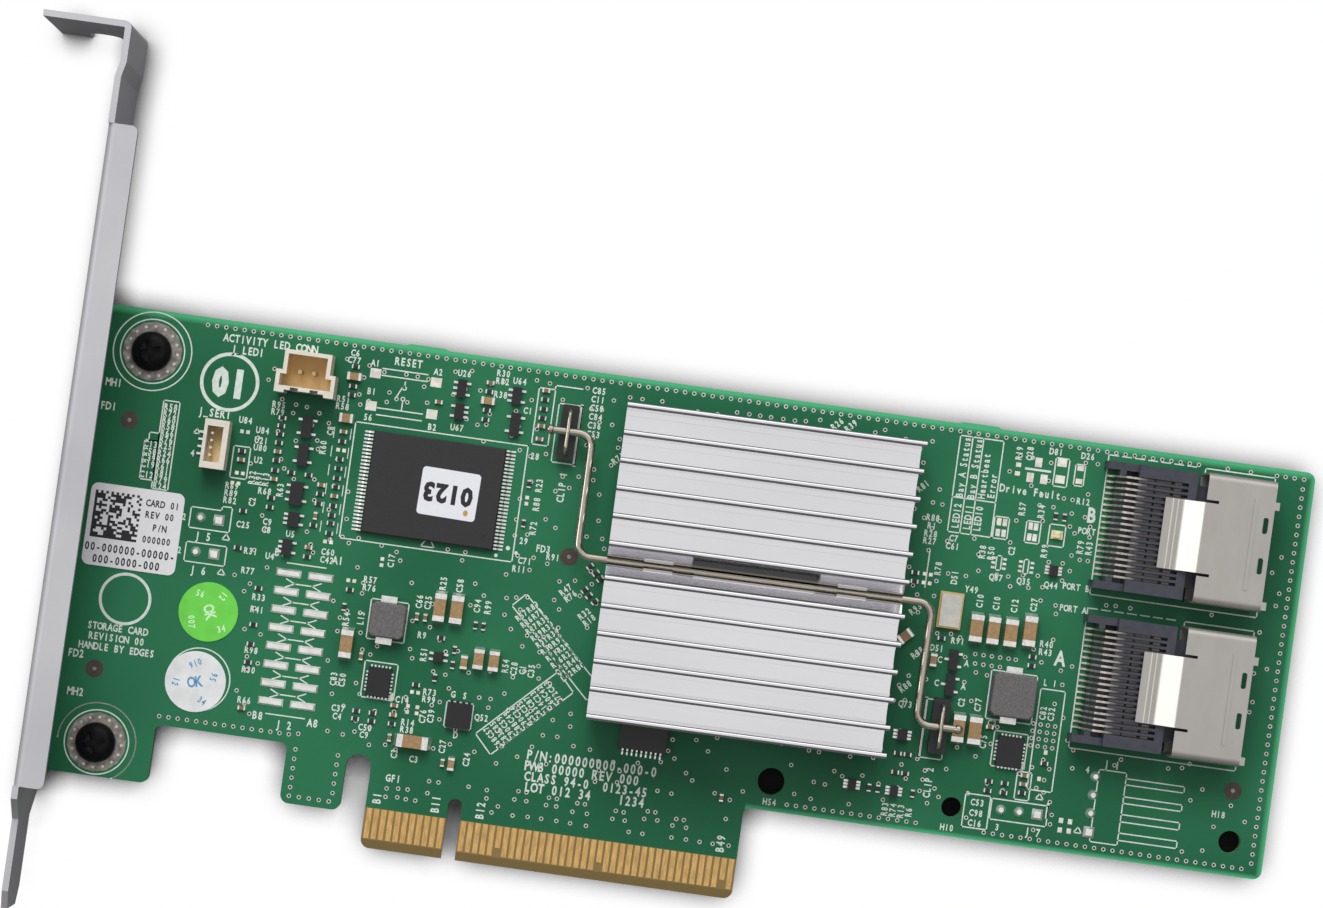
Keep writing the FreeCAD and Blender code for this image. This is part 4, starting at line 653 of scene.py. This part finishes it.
end_cap = unit_shape("unit_end", unit_cap)
plated = finish("plated_end", (0.82, 0.81, 0.78), 0.30, 0.85, 2200.0, 0.16, 0.00001)
END_GROW = 0.04


def end_places(name, share):
    places = []
    for x, y, turn, long, wide, high in chip_places(name):
        for way in (0, 180):
            angle = math.radians(turn + way)
            end = long * share
            off = long / 2 - end / 2 + 0.02
            places.append((x + off * math.cos(angle), y + off * math.sin(angle), 0, turn + way,
                           end, wide + END_GROW, high + END_GROW))
    return places


for name, share in (("chip_resistors", 0.18), ("small_capacitors", 0.22), ("large_capacitors", 0.20)):
    stamp(name + "_ends", end_cap, end_places(name, share), plated)

# Printing: one coat of white ink, a fiftieth of a millimetre thick. Lines, rings and words are
# flat closed ribbons. Words are plain letters of one width, and their numbers are chance ones.
INK_HIGH, LINE_WIDE = 0.02, 0.17
SCREW_CIRCLE, KEEP_CIRCLE = 4.4, 5.38
ink = finish("white_ink", (0.60, 0.66, 0.60), 0.55, 0.0, 1400.0, 0.10, 0.000004)


# Each function below adds to a print run: its corners in millimetres and its faces.
def add_prism(run, outline, low=0.0, thick=INK_HIGH):
    verts, faces = run
    start, count = len(verts), len(outline)
    verts += [(x, y, low) for x, y in outline] + [(x, y, low + thick) for x, y in outline]
    faces.append([start + i for i in reversed(range(count))])
    faces.append([start + count + i for i in range(count)])
    for i in range(count):
        j = (i + 1) % count
        faces.append([start + i, start + j, start + count + j, start + count + i])


def add_line(run, first, last, wide=LINE_WIDE):
    along = (Vector(last) - Vector(first)).normalized() * (wide / 2)
    side = Vector((-along.y, along.x))
    a, b = Vector(first) - along, Vector(last) + along
    add_prism(run, [tuple(a - side), tuple(b - side), tuple(b + side), tuple(a + side)])


def add_path(run, *points):
    for first, last in zip(points, points[1:]):
        add_line(run, first, last)


def add_ring(run, x, y, radius, wide, segments=64):
    verts, faces = run
    start = len(verts)
    inner, outer = (circle(x, y, edge, edge, segments) for edge in (radius - wide / 2, radius + wide / 2))
    for a, b in zip(inner, outer):
        verts += [(*a, 0.0), (*b, 0.0), (*b, INK_HIGH), (*a, INK_HIGH)]
    for i in range(segments):
        j = (i + 1) % segments
        for k in range(4):
            m = (k + 1) % 4
            faces.append([start + 4 * i + k, start + 4 * i + m, start + 4 * j + m, start + 4 * j + k])


# Letters are made once each from the built-in face, then copied into place.
LETTER_GROW, BOLD, HEAVY = 0.030, 0.05, 0.07
CAP_HIGH, LETTER_STEP, LETTER_WIDE = 0.729, 0.70, 0.74
letters = {}


def letter(sign, grow):
    if (sign, grow) not in letters:
        curve = bpy.data.curves.new("letter", "FONT")
        curve.body = sign
        curve.resolution_u = 2
        curve.extrude = 0.5
        curve.offset = grow
        baked = bake(new_object("letter", curve), "letter")
        work = bmesh.new()
        work.from_mesh(baked.data)
        bpy.data.meshes.remove(baked.data)
        bmesh.ops.remove_doubles(work, verts=work.verts, dist=1e-5)
        work.verts.ensure_lookup_table()
        points = [vert.co.copy() for vert in work.verts]
        polygons = [[vert.index for vert in face.verts] for face in work.faces]
        work.free()
        across = [point.x for point in points]
        letters[sign, grow] = (points, polygons, (min(across) + max(across)) / 2)
    return letters[sign, grow]


# A word centred on a point, height in millimetres.
def add_word(run, text, x, y, turn=0.0, high=0.9, level=0.0, thick=INK_HIGH, wide=LETTER_WIDE,
             grow=LETTER_GROW):
    verts, faces = run
    scale = high / CAP_HIGH
    swing = Matrix.Rotation(math.radians(turn), 2)
    for i, sign in enumerate(text):
        if sign == " ":
            continue
        points, polygons, middle = letter(sign, grow)
        shift = (i - (len(text) - 1) / 2) * high * LETTER_STEP
        start = len(verts)
        for p in points:
            flat = swing @ Vector(((p.x - middle) * scale * wide + shift, p.y * scale - high / 2))
            verts.append((x + flat.x, y + flat.y, level + (p.z + 0.5) * thick))
        faces += [[start + i for i in polygon] for polygon in polygons]


def make_piece(name, run, material):
    verts, faces = run
    mesh = bpy.data.meshes.new(name)
    mesh.from_pydata([Vector(v) * MM for v in verts], [], faces)
    work = bmesh.new()
    work.from_mesh(mesh)
    bmesh.ops.recalc_face_normals(work, faces=work.faces)
    work.to_mesh(mesh)
    work.free()
    mesh.materials.append(material)
    piece = new_object(name, mesh)
    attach(piece, "root")
    return piece


lines = ([], [])
PART_BOXES = [
    (-47.3, -45.05, 44.6, 56.8), (-49.1, -47.3, 45.7, 51.1), (-48.6, -47.3, 51.1, 52.2),
    (-15.3, -10.1, 28.4, 33.9), (-14.95, -10.4, 20.4, 25.4), (71.7, 76.35, 23.1, 27.95),
    (70.15, 76.5, 29.4, 36.1), (-3.1, 0.6, 17.9, 21.5), (-36.9, -34.6, 47.6, 52), (3.4, 5.65, 57.9, 65.7),
    (77.15, 80.55, 20.6, 34.5), (75.55, 77.55, 19, 22.85), (68.95, 72.4, 14.3, 18.9),
    (74.9, 76.8, 62.2, 66.1), (77.7, 79.05, 62.65, 65.6), (67.7, 69.7, 54, 57), (72.1, 74.1, 54, 57),
    (75.3, 77.5, 54, 57), (-20.85, 3, 41.5, 57.55), (-41.5, -35.9, 35.4, 38.1), (72.6, 80.4, 15.85, 18.7),
    (72.5, 73.15, 49.7, 51.7), (68.7, 69.4, 49.7, 51.7), (61.5, 67.5, 54, 67.3), (6.4, 9.7, 55.85, 63.95),
    (61.7, 65, 22.9, 30.95), (86.6, 90.4, 14.7, 24.65),
]
for x0, x1, y0, y1 in PART_BOXES:
    add_path(lines, (x0, y0), (x1, y0), (x1, y1), (x0, y1), (x0, y0))
for y0, y1 in ((48.2, 67.5), (27.0, 46.3)):
    add_path(lines, (82.0, y0), (105.05, y0), (105.05, y0 + 0.8))
    add_path(lines, (105.05, y1 - 0.8), (105.05, y1), (95.4, y1), (95.4, y1 - 0.9))
    add_path(lines, (82.0, y0), (82.0, y1))
    for i in range(7):
        add_line(lines, (82.1 + i * 1.8, y1), (83.3 + i * 1.8, y1))
for y0, y1 in ((23.05, 23.9), (20.5, 21.4), (17.95, 18.95), (15.4, 16.4)):
    add_path(lines, (90.4, y0), (98.5, y0), (98.5, y1), (90.4, y1))
add_path(lines, (-41.5, 40.05), (-35.9, 40.05), (-35.9, 43.5), (-37.3, 43.5), (-37.3, 42.9),
         (-41.5, 42.9), (-41.5, 40.05))
for i in range(7):
    y = 34.35 - 2.54 * i
    add_line(lines, (-26.0, y), (-23.6, y))
    for x, step in ((-26.0, -1.2), (-23.6, 1.2)):
        for lift in (-0.55, 0.55):
            add_line(lines, (x, y), (x + step, y + lift))
add_path(lines, (-14.9, 63.85), (-14.9, 63.3), (-15.15, 63.15), (-15.95, 61.45))
add_path(lines, (5.6, 65.9), (5.6, 66.3), (9.3, 66.3))
# Single lines by their two ends, and their width where it isn't the usual one.
for x0, y0, x1, y1, *wide in (
        (63.2, 54, 63.2, 67.3), (64.7, 54, 64.7, 67.3), (61.5, 58.8, 67.5, 58.8),
        (9.55, 55.85, 9.55, 63.95, 0.45), (61.85, 22.9, 61.85, 30.95, 0.45),
        (-27.4, 37.1, -22.1, 37.1), (-27.4, 16.3, -22.1, 16.3),
        (-18.2, 65.3, -12, 65.3), (-18.2, 64.35, -12, 64.35), (-18.2, 59.85, -12, 59.85),
        (-18.2, 58.9, -12, 58.9), (-14.9, 61.15, -14.9, 60), (71, 64.05, 74.3, 64.05, 0.3),
        (59.5, 46, 59.5, 51), (80.3, 17.1, 80.3, 18.9, 0.35)):
    add_line(lines, (x0, y0), (x1, y1), *wide)
for x in (-23.6, -21.3):
    for i in range(6):
        add_line(lines, (x, 42.0 + i * 2.6), (x, 43.4 + i * 2.6), 0.12)
for x0, y0, x1, y1, x2, y2 in ((3.85, 35.6, 15.85, 24.15, 17.6, 26.0),
                               (1.37, 17.57, 11.43, 27.57, 13.86, 25.0)):
    add_path(lines, (x0, y0), (x1, y1), (x2, y2), (x0 + x2 - x1, y0 + y2 - y1), (x0, y0))
for x, y, size in ((-8.75, 42.4, 0.95), (-36.2, 39.3, 0.55), (-36.2, 34.5, 0.55), (84.8, 15.9, 0.55),
                   (79.0, 19.7, 0.55), (-42.2, 53.15, 0.45)):
    left, right, low = x - size, x + size, y - size / 2
    add_path(lines, (left, low), (right, low), (x, y + size), (left, low))
for x, y in ((-10.55, 20.55), (76.2, 23.25)):
    add_prism(lines, [(x - 1.1, y - 0.1), (x + 0.1, y - 0.1), (x + 0.1, y + 1.1)])
for x, y, radius, wide in (
        (FIX_X, FIX_HIGH, SCREW_CIRCLE, LINE_WIDE), (FIX_X, FIX_HIGH, KEEP_CIRCLE, LINE_WIDE),
        (FIX_X, FIX_LOW, SCREW_CIRCLE, LINE_WIDE), (-37.2, 19.6, 4.3, LINE_WIDE),
        (-38.74, 60.49, 3.83, 0.48), (-48.7, 29.1, 3.4, 0.4), (-14.9, 63, 0.25, 0.14),
        (-14.9, 61.5, 0.25, 0.14)):
    add_ring(lines, x, y, radius, wide)
for x, y, radius in ((2.2, 43.3, 0.3), (0.7, 42.1, 0.25), (3.4, 42.8, 0.25)):
    add_prism(lines, circle(x, y, radius, radius))
# The lower screw's outer circle is open at its lower left, toward the board's corner.
arc = [math.radians(-60 + 3 * i) for i in range(81)]
add_path(lines, *[(FIX_X + KEEP_CIRCLE * math.cos(a), FIX_LOW + KEEP_CIRCLE * math.sin(a)) for a in arc])
make_piece("printed_lines", lines, ink)

# Words: a mark beside each part. Each row is a letter, a column and the heights in it.
LEVEL_MARKS = [
    ("R", -46.2, 56, 55.1, 54.2, 53.3, 52.4, 51.5, 50.6, 49.6, 48.7, 47.8, 46.9, 46, 45.1),
    ("C", -48.2, 50.6, 49.6, 48.7, 47.8, 46.4), ("R", -36.4, 46.5, 45.5, 44.5), ("C", -22.2, 66.9, 65.9),
    ("R", -22.95, 60.4, 59.4), ("U", -35.8, 55.65), ("R", -31.6, 58.4, 57.4),
    ("U", -33.3, 54.6, 53.2, 52.2, 50.5), ("R", -31.85, 46.4), ("C", -30.9, 42.3, 41.2),
    ("U", -27.55, 41.1), ("C", -34.15, 41.45), ("R", -32.6, 38, 35.3), ("U", -29.9, 37.7),
    ("C", -22.1, 39.35, 38.25), ("R", -15.8, 36.4, 35.3), ("U", -7, 66.2, 58.7),
    ("R", -1.7, 66.95, 65.85, 64), ("U", 0.65, 66.2), ("C", 2.3, 62.35),
    ("C", 11.6, 66.4, 65.2, 64, 62.8, 61.6, 60.4), ("C", 4.75, 41.9), ("R", 4.1, 40.7), ("R", 8.5, 42.95),
    ("R", -30.6, 31.9, 30.2, 24.6, 21.9, 17.7), ("C", -17.7, 18.4, 17.3), ("R", -7.75, 29.9),
    ("R", -5.6, 22.3, 21.3), ("C", -9.2, 20.75), ("Q", 1.9, 19.85), ("R", -8, 17.8, 16.8),
    ("C", -13.7, 16.3, 15.3), ("C", -6.5, 12.95), ("R", 59.3, 55.6, 54.5, 53.4, 52.4),
    ("C", 62.5, 53.2, 52.1), ("Y", 65.9, 46.6), ("R", 65, 39.35), ("D", 62.3, 38), ("H", 42.5, 13.95),
    ("H", 67, 13.9), ("Q", 59.1, 29.8), ("D", 74.8, 66.9), ("D", 79.2, 66.9), ("Q", 69, 48.7),
    ("Q", 72.8, 48.7), ("Q", 76.6, 48.7), ("R", 79.4, 60.65), ("R", 77.1, 40.6, 39.5), ("C", 71.2, 28.9),
    ("C", 70.7, 17.85, 16.4, 15), ("H", 103.6, 20.85),
]
# Marks that read upward: a letter, a height and the columns in it.
UPRIGHT_MARKS = [
    ("R", 48, -33.9, -32.95, -32), ("C", 44.7, -33.4), ("C", 55.85, -24.15), ("R", 53.45, -24.85),
    ("R", 46.85, -29.85), ("R", 52.4, 5.2), ("R", 49.8, 5.2), ("R", 46.5, 5.2), ("R", 37.3, -5.9),
    ("C", 37.3, -3.6), ("C", 34.4, -8.8, -7.6), ("C", 34.9, -0.85), ("R", 34.9, 0.6), ("C", 39.4, -13.4),
    ("R", 30.6, -18.4), ("C", 22.3, -18.95, -17.75), ("L", 31, -16.4), ("R", 27.3, -7.2, 4.1),
    ("C", 27.1, 5.3, 6.5, 7.7), ("C", 18.9, -6.15), ("C", 19.1, -5.05), ("C", 13.3, -9.3),
    ("C", 15.2, -2.9), ("C", 13.9, 0.6), ("D", 47.9, 63.3), ("R", 48.8, 60.9),
    ("R", 15.2, 58.2, 59.3, 60.4, 61.5), ("R", 66, 69.75), ("Q", 66.2, 71.2), ("R", 58.5, 71.2, 73.85),
    ("C", 52.6, 70.55), ("R", 53.2, 75), ("R", 54.4, 79.8, 81), ("R", 51.9, 66.6, 67.8),
    ("C", 45.2, 67.2, 69.5, 72), ("C", 45.7, 74.6), ("C", 26.2, 70.3), ("C", 31.2, 77.85, 79),
    ("C", 31.1, 66.6, 68.9),
]
words = ([], [])
chance = random.Random(11)


def add_mark(kind, x, y, turn, high=0.9, least=1):
    add_word(words, "%s%d" % (kind, chance.randint(least, 99)), x, y, turn, high)


for kind, x, *heights in LEVEL_MARKS:
    for y in heights:
        add_mark(kind, x, y, 0)
for kind, y, *columns in UPRIGHT_MARKS:
    for x in columns:
        add_mark(kind, x, y, 90)
# Plain words under their turn and height: each with the place of its middle.
PLAIN_WORDS = {
    (0, 1.0): [
        ("STORAGE CARD", -49.1, 25), ("REVISION 00", -49.1, 23.6), ("HANDLE BY EDGES", -48.9, 22.2),
        ("FD3", 7, 43.9), ("GF1", -8.9, 9.95)],
    (0, 1.1): [
        ("ACTIVITY LED CONN", -33.9, 66.55), ("J_LED1", -36.9, 65.1), ("J_SER1", -40.2, 56.05),
        ("RESET", -14.8, 66.6), ("MH1", -54.4, 58.3), ("FD1", -54.7, 55), ("FD2", -54.3, 20.9),
        ("MH2", -53.6, 15.7), ("J 5", -39.4, 39.1), ("J 6", -39.4, 34.4), ("B1", -28.6, 38.4),
        ("A1", -20.6, 38.4), ("B8", -28.5, 15.9), ("A8", -20.9, 15.9), ("J 2", -24.8, 15.1),
        ("J 1", 88.2, 25.5), ("J 7", 78.7, 14.9), ("Drive Fault", 72, 61)],
    (0, 0.9): [
        ("A1", -19.3, 65.9), ("B1", -19.3, 62), ("A2", -10.6, 65.9), ("B2", -10.4, 58.3),
        ("4", -42.4, 50.2), ("2", -42.3, 41.4), ("2", -42.3, 36.8), ("1", -22, 41), ("56", -19.3, 58.4),
        ("28", 4.1, 56.3), ("29", 4.2, 44.6), ("G", -2.4, 22.5), ("S", -0.8, 22.5), ("D", -1.3, 17),
        ("C", 62.9, 36.5), ("A", 66.6, 36.5), ("C", 62.9, 33.3), ("A", 66.6, 33.3), ("4", 85, 24.4),
        ("3", 73.8, 14.9), ("PORT", 80.4, 56.7), ("PORT B", 80, 48.9), ("PORT A", 80, 45.9),
        ("L 1", 78.3, 35.4)],
    (90, 1.0): [
        ("CLIP 1", 8.3, 52.6), ("CLIP 2", 63.6, 19.6), ("LED12", 62.4, 56.3), ("LED11", 64, 56.3),
        ("LED10", 65.4, 56.3), ("Bay A Status", 62.4, 63), ("Bay B Status", 64, 63),
        ("Heartbeat", 65.4, 62.2), ("Error", 66.7, 61)],
    (0, 2.1): [
        ("B", 80.8, 59), ("A", 79.2, 39)],
    (90, 1.15): [
        ("B1", -10.78, 6.95), ("B11", -2.72, 7.25), ("B12", 3.45, 7.25), ("B49", 36.62, 7.35)],
    (0, 1.36): [
        ("P/N:000000000-000-0", 17.7, 15.8)],
    (0, 1.34): [
        ("PWB 00000 REV 000", 16.5, 14.3)],
    (0, 1.28): [
        ("CLASS 94-0  0123-45", 17.3, 12.85)],
    (0, 1.32): [
        ("LOT 012 34    1234", 17.3, 11.4)],
}
for (turn, high), rows in PLAIN_WORDS.items():
    for text, x, y in rows:
        add_word(words, text, x, y, turn, high)
SLANT = 0.7071
for i in range(10):
    down = (i * 1.15 + 0.6) * SLANT
    for row in (0, 1):
        add_mark("R", 5.35 + down + row * 1.35 - 0.45, 35.35 - down + row * 1.35 - 0.45, 45, 0.85, 10)
        add_mark("C", 2.7 + down + row * 1.3, 17.35 + down - row * 1.3 + 0.2, 135, 0.85, 10)
for x, y in ((10.8, 38.8), (11.6, 38), (13.8, 35.9), (14.6, 35.1), (44.5, 66.5), (46.4, 66.5), (15.4, 57.6),
             (57.3, 59.7), (58.6, 42.9), (59.7, 37), (58.7, 32.2)):
    add_mark("R", x, y, 45, 0.9, 10)
add_word(words, "01", -38.74, 60.49, 0, 3.6, wide=0.8, grow=HEAVY)
make_piece("printed_words", words, ink)

# Solder: bright mounds left by the reflow on the sixteen bridge lands, and cones round the
# pins of the headers.
solder = finish("bright_solder", (0.84, 0.84, 0.81), 0.27, 0.85, 700.0, 0.12, 0.00004)
paint(solder, "bridge_pads", "solder_joints")

# Bare lands of parts left off this card, tinned flat, and the fiducials: a brown bare ring
# of laminate round a copper dot.
def unit_land(work):
    bmesh.ops.create_cube(work, size=MM)
    bmesh.ops.translate(work, verts=work.verts, vec=(0, 0, MM / 2))
    top = [edge for edge in work.edges if all(vert.co.z > 0 for vert in edge.verts)]
    bmesh.ops.bevel(work, geom=top, offset=0.12 * MM, segments=1, affect="EDGES")


land = unit_shape("unit_land", unit_land)
LAND_HIGH, PAIR_OFF = 0.06, (-0.42, 0.42)
WINDOW_RADIUS, TARGET_RADIUS = 1.25, 0.28
lands = [(-19.1, 64.5, 1.5, 1.3), (-19.1, 60.0, 1.5, 1.3), (-10.7, 64.4, 1.5, 1.3), (-10.7, 60.0, 1.5, 1.3),
         (75.8, 65.5, 1.3, 1.1), (75.8, 63.2, 1.3, 1.1), (78.4, 65.1, 0.9, 0.7), (78.4, 63.3, 0.9, 0.7),
         (72.6, 65.1, 0.95, 1.3), (71.7, 62.9, 0.95, 1.3), (73.6, 62.9, 0.95, 1.3), (79.0, 25.9, 0.5, 0.6),
         (78.6, 22.2, 0.5, 0.6), (82.35, 17.0, 0.6, 0.7), (83.6, 17.0, 0.6, 0.7), (82.35, 15.7, 0.6, 0.7),
         (83.6, 15.7, 0.6, 0.7), (69.9, 64.4, 0.7, 0.6), (69.9, 63.2, 0.7, 0.6)]
for x in (68.35, 69.15, 72.7, 73.45):
    lands += [(x, y, 0.6, 1.0) for y in (56.3, 54.8)]
for x in (68.3, 69.85, 72.05, 73.65):
    lands += [(x, 50.0 + i * 0.65, 0.5, 0.32) for i in range(3)]
for x, y in ((-35.6, 48.35), (-35.7, 54.05), (-22.3, 53.4), (-22.3, 40.7), (-18.4, 35.9), (-7.6, 22.0),
             (59.65, 47.8), (59.65, 46.6), (-36.0, 46.9)):
    lands += [(x + off, y, 0.5, 0.5) for off in PAIR_OFF]
for x, y in ((3.85, 50.1), (-14.6, 39.0), (-8.3, 19.6), (-7.0, 19.6)):
    lands += [(x, y + off, 0.5, 0.5) for off in PAIR_OFF]
flat_tin = finish("flat_tin", (0.80, 0.78, 0.70), 0.32, 0.75, 800.0, 0.2, 0.00003)
stamp("bare_lands", land, [(x, y, 0, 0, wide, long, LAND_HIGH) for x, y, wide, long in lands], flat_tin)
FIDUCIALS = [(-51.6, 53.45), (-51.5, 19.1), (10.65, 43.3), (105.1, 24.3)]
laminate = finish("bare_laminate", (0.050, 0.040, 0.030), 0.6, 0.0, 900.0, 0.25)
stamp("fiducial_windows", disc, [(x, y, 0, 0, WINDOW_RADIUS, WINDOW_RADIUS, 0.03) for x, y in FIDUCIALS],
      laminate)
stamp("fiducial_dots", disc, [(x, y, 0, 0, TARGET_RADIUS, TARGET_RADIUS, 0.06) for x, y in FIDUCIALS],
      bare_ring)

# Back of the board: the through-hole joints of the headers and clip anchors, cut short and soldered in small
# cones.
def unit_cone(work):
    bmesh.ops.create_cone(work, cap_ends=True, segments=16, radius1=MM, radius2=0.45 * MM, depth=MM)


cone = unit_shape("unit_cone", unit_cone)
JOINT_DEEP, JOINT_RADIUS = 0.7, 0.8
joints = [(-40.05, 41.6), (-37.5, 41.55), (-40.05, 36.85), (-37.5, 36.85), (74, 17.3), (76.5, 17.35),
          (79, 17.35)]
joints += [(86.3, y) for y in (23.6, 21.05, 18.55, 15.95)] + [(-29.0, 63.0), (-27.1, 63.0)]
for x, y in ((8.15, 60.1), (63.95, 27.5)):
    joints += [(x, y - 2.9), (x, y + 2.9)]
stamp("back_joints", cone, [(x, y, BACK - JOINT_DEEP / 2, 0, JOINT_RADIUS, JOINT_RADIUS, -JOINT_DEEP)
                            for x, y in joints], solder)

# Stickers: white paper labels printed in black, and two inspectors' film discs with stamped
# words. The print is a hundredth of a millimetre thick.
PRINT_THICK = 0.01
STICKER_TOP, FLASH_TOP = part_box("service_label")[1].z / MM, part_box("flash_label")[1].z / MM
paint(finish("flash_label_paper", (0.71, 0.71, 0.76), 0.6, 0.0, 1500.0, 0.02, 0.000005), "flash_label")
paint(finish("service_label_paper", (0.70, 0.695, 0.715), 0.6, 0.0, 1500.0, 0.03, 0.000005), "service_label")
paint(finish("white_film", (0.70, 0.71, 0.715), 0.4, 0.0, 500.0, 0.08), "white_sticker")
paint(finish("green_film", (0.135, 0.59, 0.062), 0.4, 0.0, 700.0, 0.06), "green_sticker")


def add_words(run, rows):
    for text, x, y, turn, high in rows:
        add_word(run, text, x, y, turn, high, STICKER_TOP, PRINT_THICK)


# A square of chance cells with two solid sides and two dashed ones.
CODE_CELLS, CODE_LEFT, CODE_LOW, CODE_WIDE = 18, -54.75, 36.95, 6.45
cell_wide = CODE_WIDE / CODE_CELLS
label_print = ([], [])
last = CODE_CELLS - 1
for row in range(CODE_CELLS):
    for column in range(CODE_CELLS):
        solid_side = column == 0 or row == 0
        dashed_side = (row == last and column % 2 == 0) or (column == last and row % 2 == 0)
        inner = 0 < column < last and 0 < row < last and chance.random() < 0.5
        if solid_side or dashed_side or inner:
            x, y = CODE_LEFT + column * cell_wide, CODE_LOW + row * cell_wide
            add_prism(label_print, [(x, y), (x + cell_wide, y), (x + cell_wide, y + cell_wide),
                                    (x, y + cell_wide)], STICKER_TOP, PRINT_THICK)
add_words(label_print, [("CARD 01", -45.4, 42.6, 0, 0.95), ("REV 00", -45.6, 41.0, 0, 0.95),
                        ("P/N", -45.4, 39.3, 0, 0.95), ("000000", -45.6, 37.6, 0, 0.95),
                        ("00-000000-00000-", -49.0, 35.7, 0, 1.12), ("000-0000-000", -49.3, 34.1, 0, 1.12)])
add_word(label_print, "0123", -6.95, 49.35, 178.8, 2.5, FLASH_TOP, PRINT_THICK, 0.9, BOLD)
make_piece("label_printing", label_print,
           finish("black_print", (0.012, 0.012, 0.014), 0.5, 0.0, 1800.0, 0.2))
blue_print, pale_print, ochre_print = ([], []), ([], []), ([], [])
add_words(blue_print, [("OK", -37.6, 19.3, 14, 1.5), ("016", -37.9, 21.7, -150, 0.9),
                       ("12", -40.2, 18.9, -100, 0.9), ("34", -36.3, 16.8, -28, 0.9),
                       ("56", -35.2, 20.2, 80, 0.9)])
make_piece("white_sticker_printing", blue_print,
           finish("blue_print", (0.10, 0.30, 0.48), 0.5, 0.0, 1800.0, 0.1))
add_words(pale_print, [("OK", -36.9, 28.9, -68, 1.5), ("12", -35.4, 31.3, -120, 0.9),
                       ("34", -35.1, 26.9, 20, 0.9), ("007", -39.2, 27.3, -80, 0.9),
                       ("56", -38.6, 31.3, -10, 0.9)])
make_piece("green_sticker_printing", pale_print,
           finish("pale_print", (0.55, 0.85, 0.50), 0.5, 0.0, 1800.0, 0.05))
add_prism(ochre_print, circle(-4.2, 47.2, 0.33, 0.42), FLASH_TOP, PRINT_THICK)
make_piece("label_dot", ochre_print, finish("ochre_ink", (0.50, 0.29, 0.06), 0.5, 0.0, 900.0, 0.1))

for shape in (disc, end_cap, land, cone):
    bpy.data.objects.remove(shape)
size = {"cad": cad_box, "visual": [list(corner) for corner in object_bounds()]}
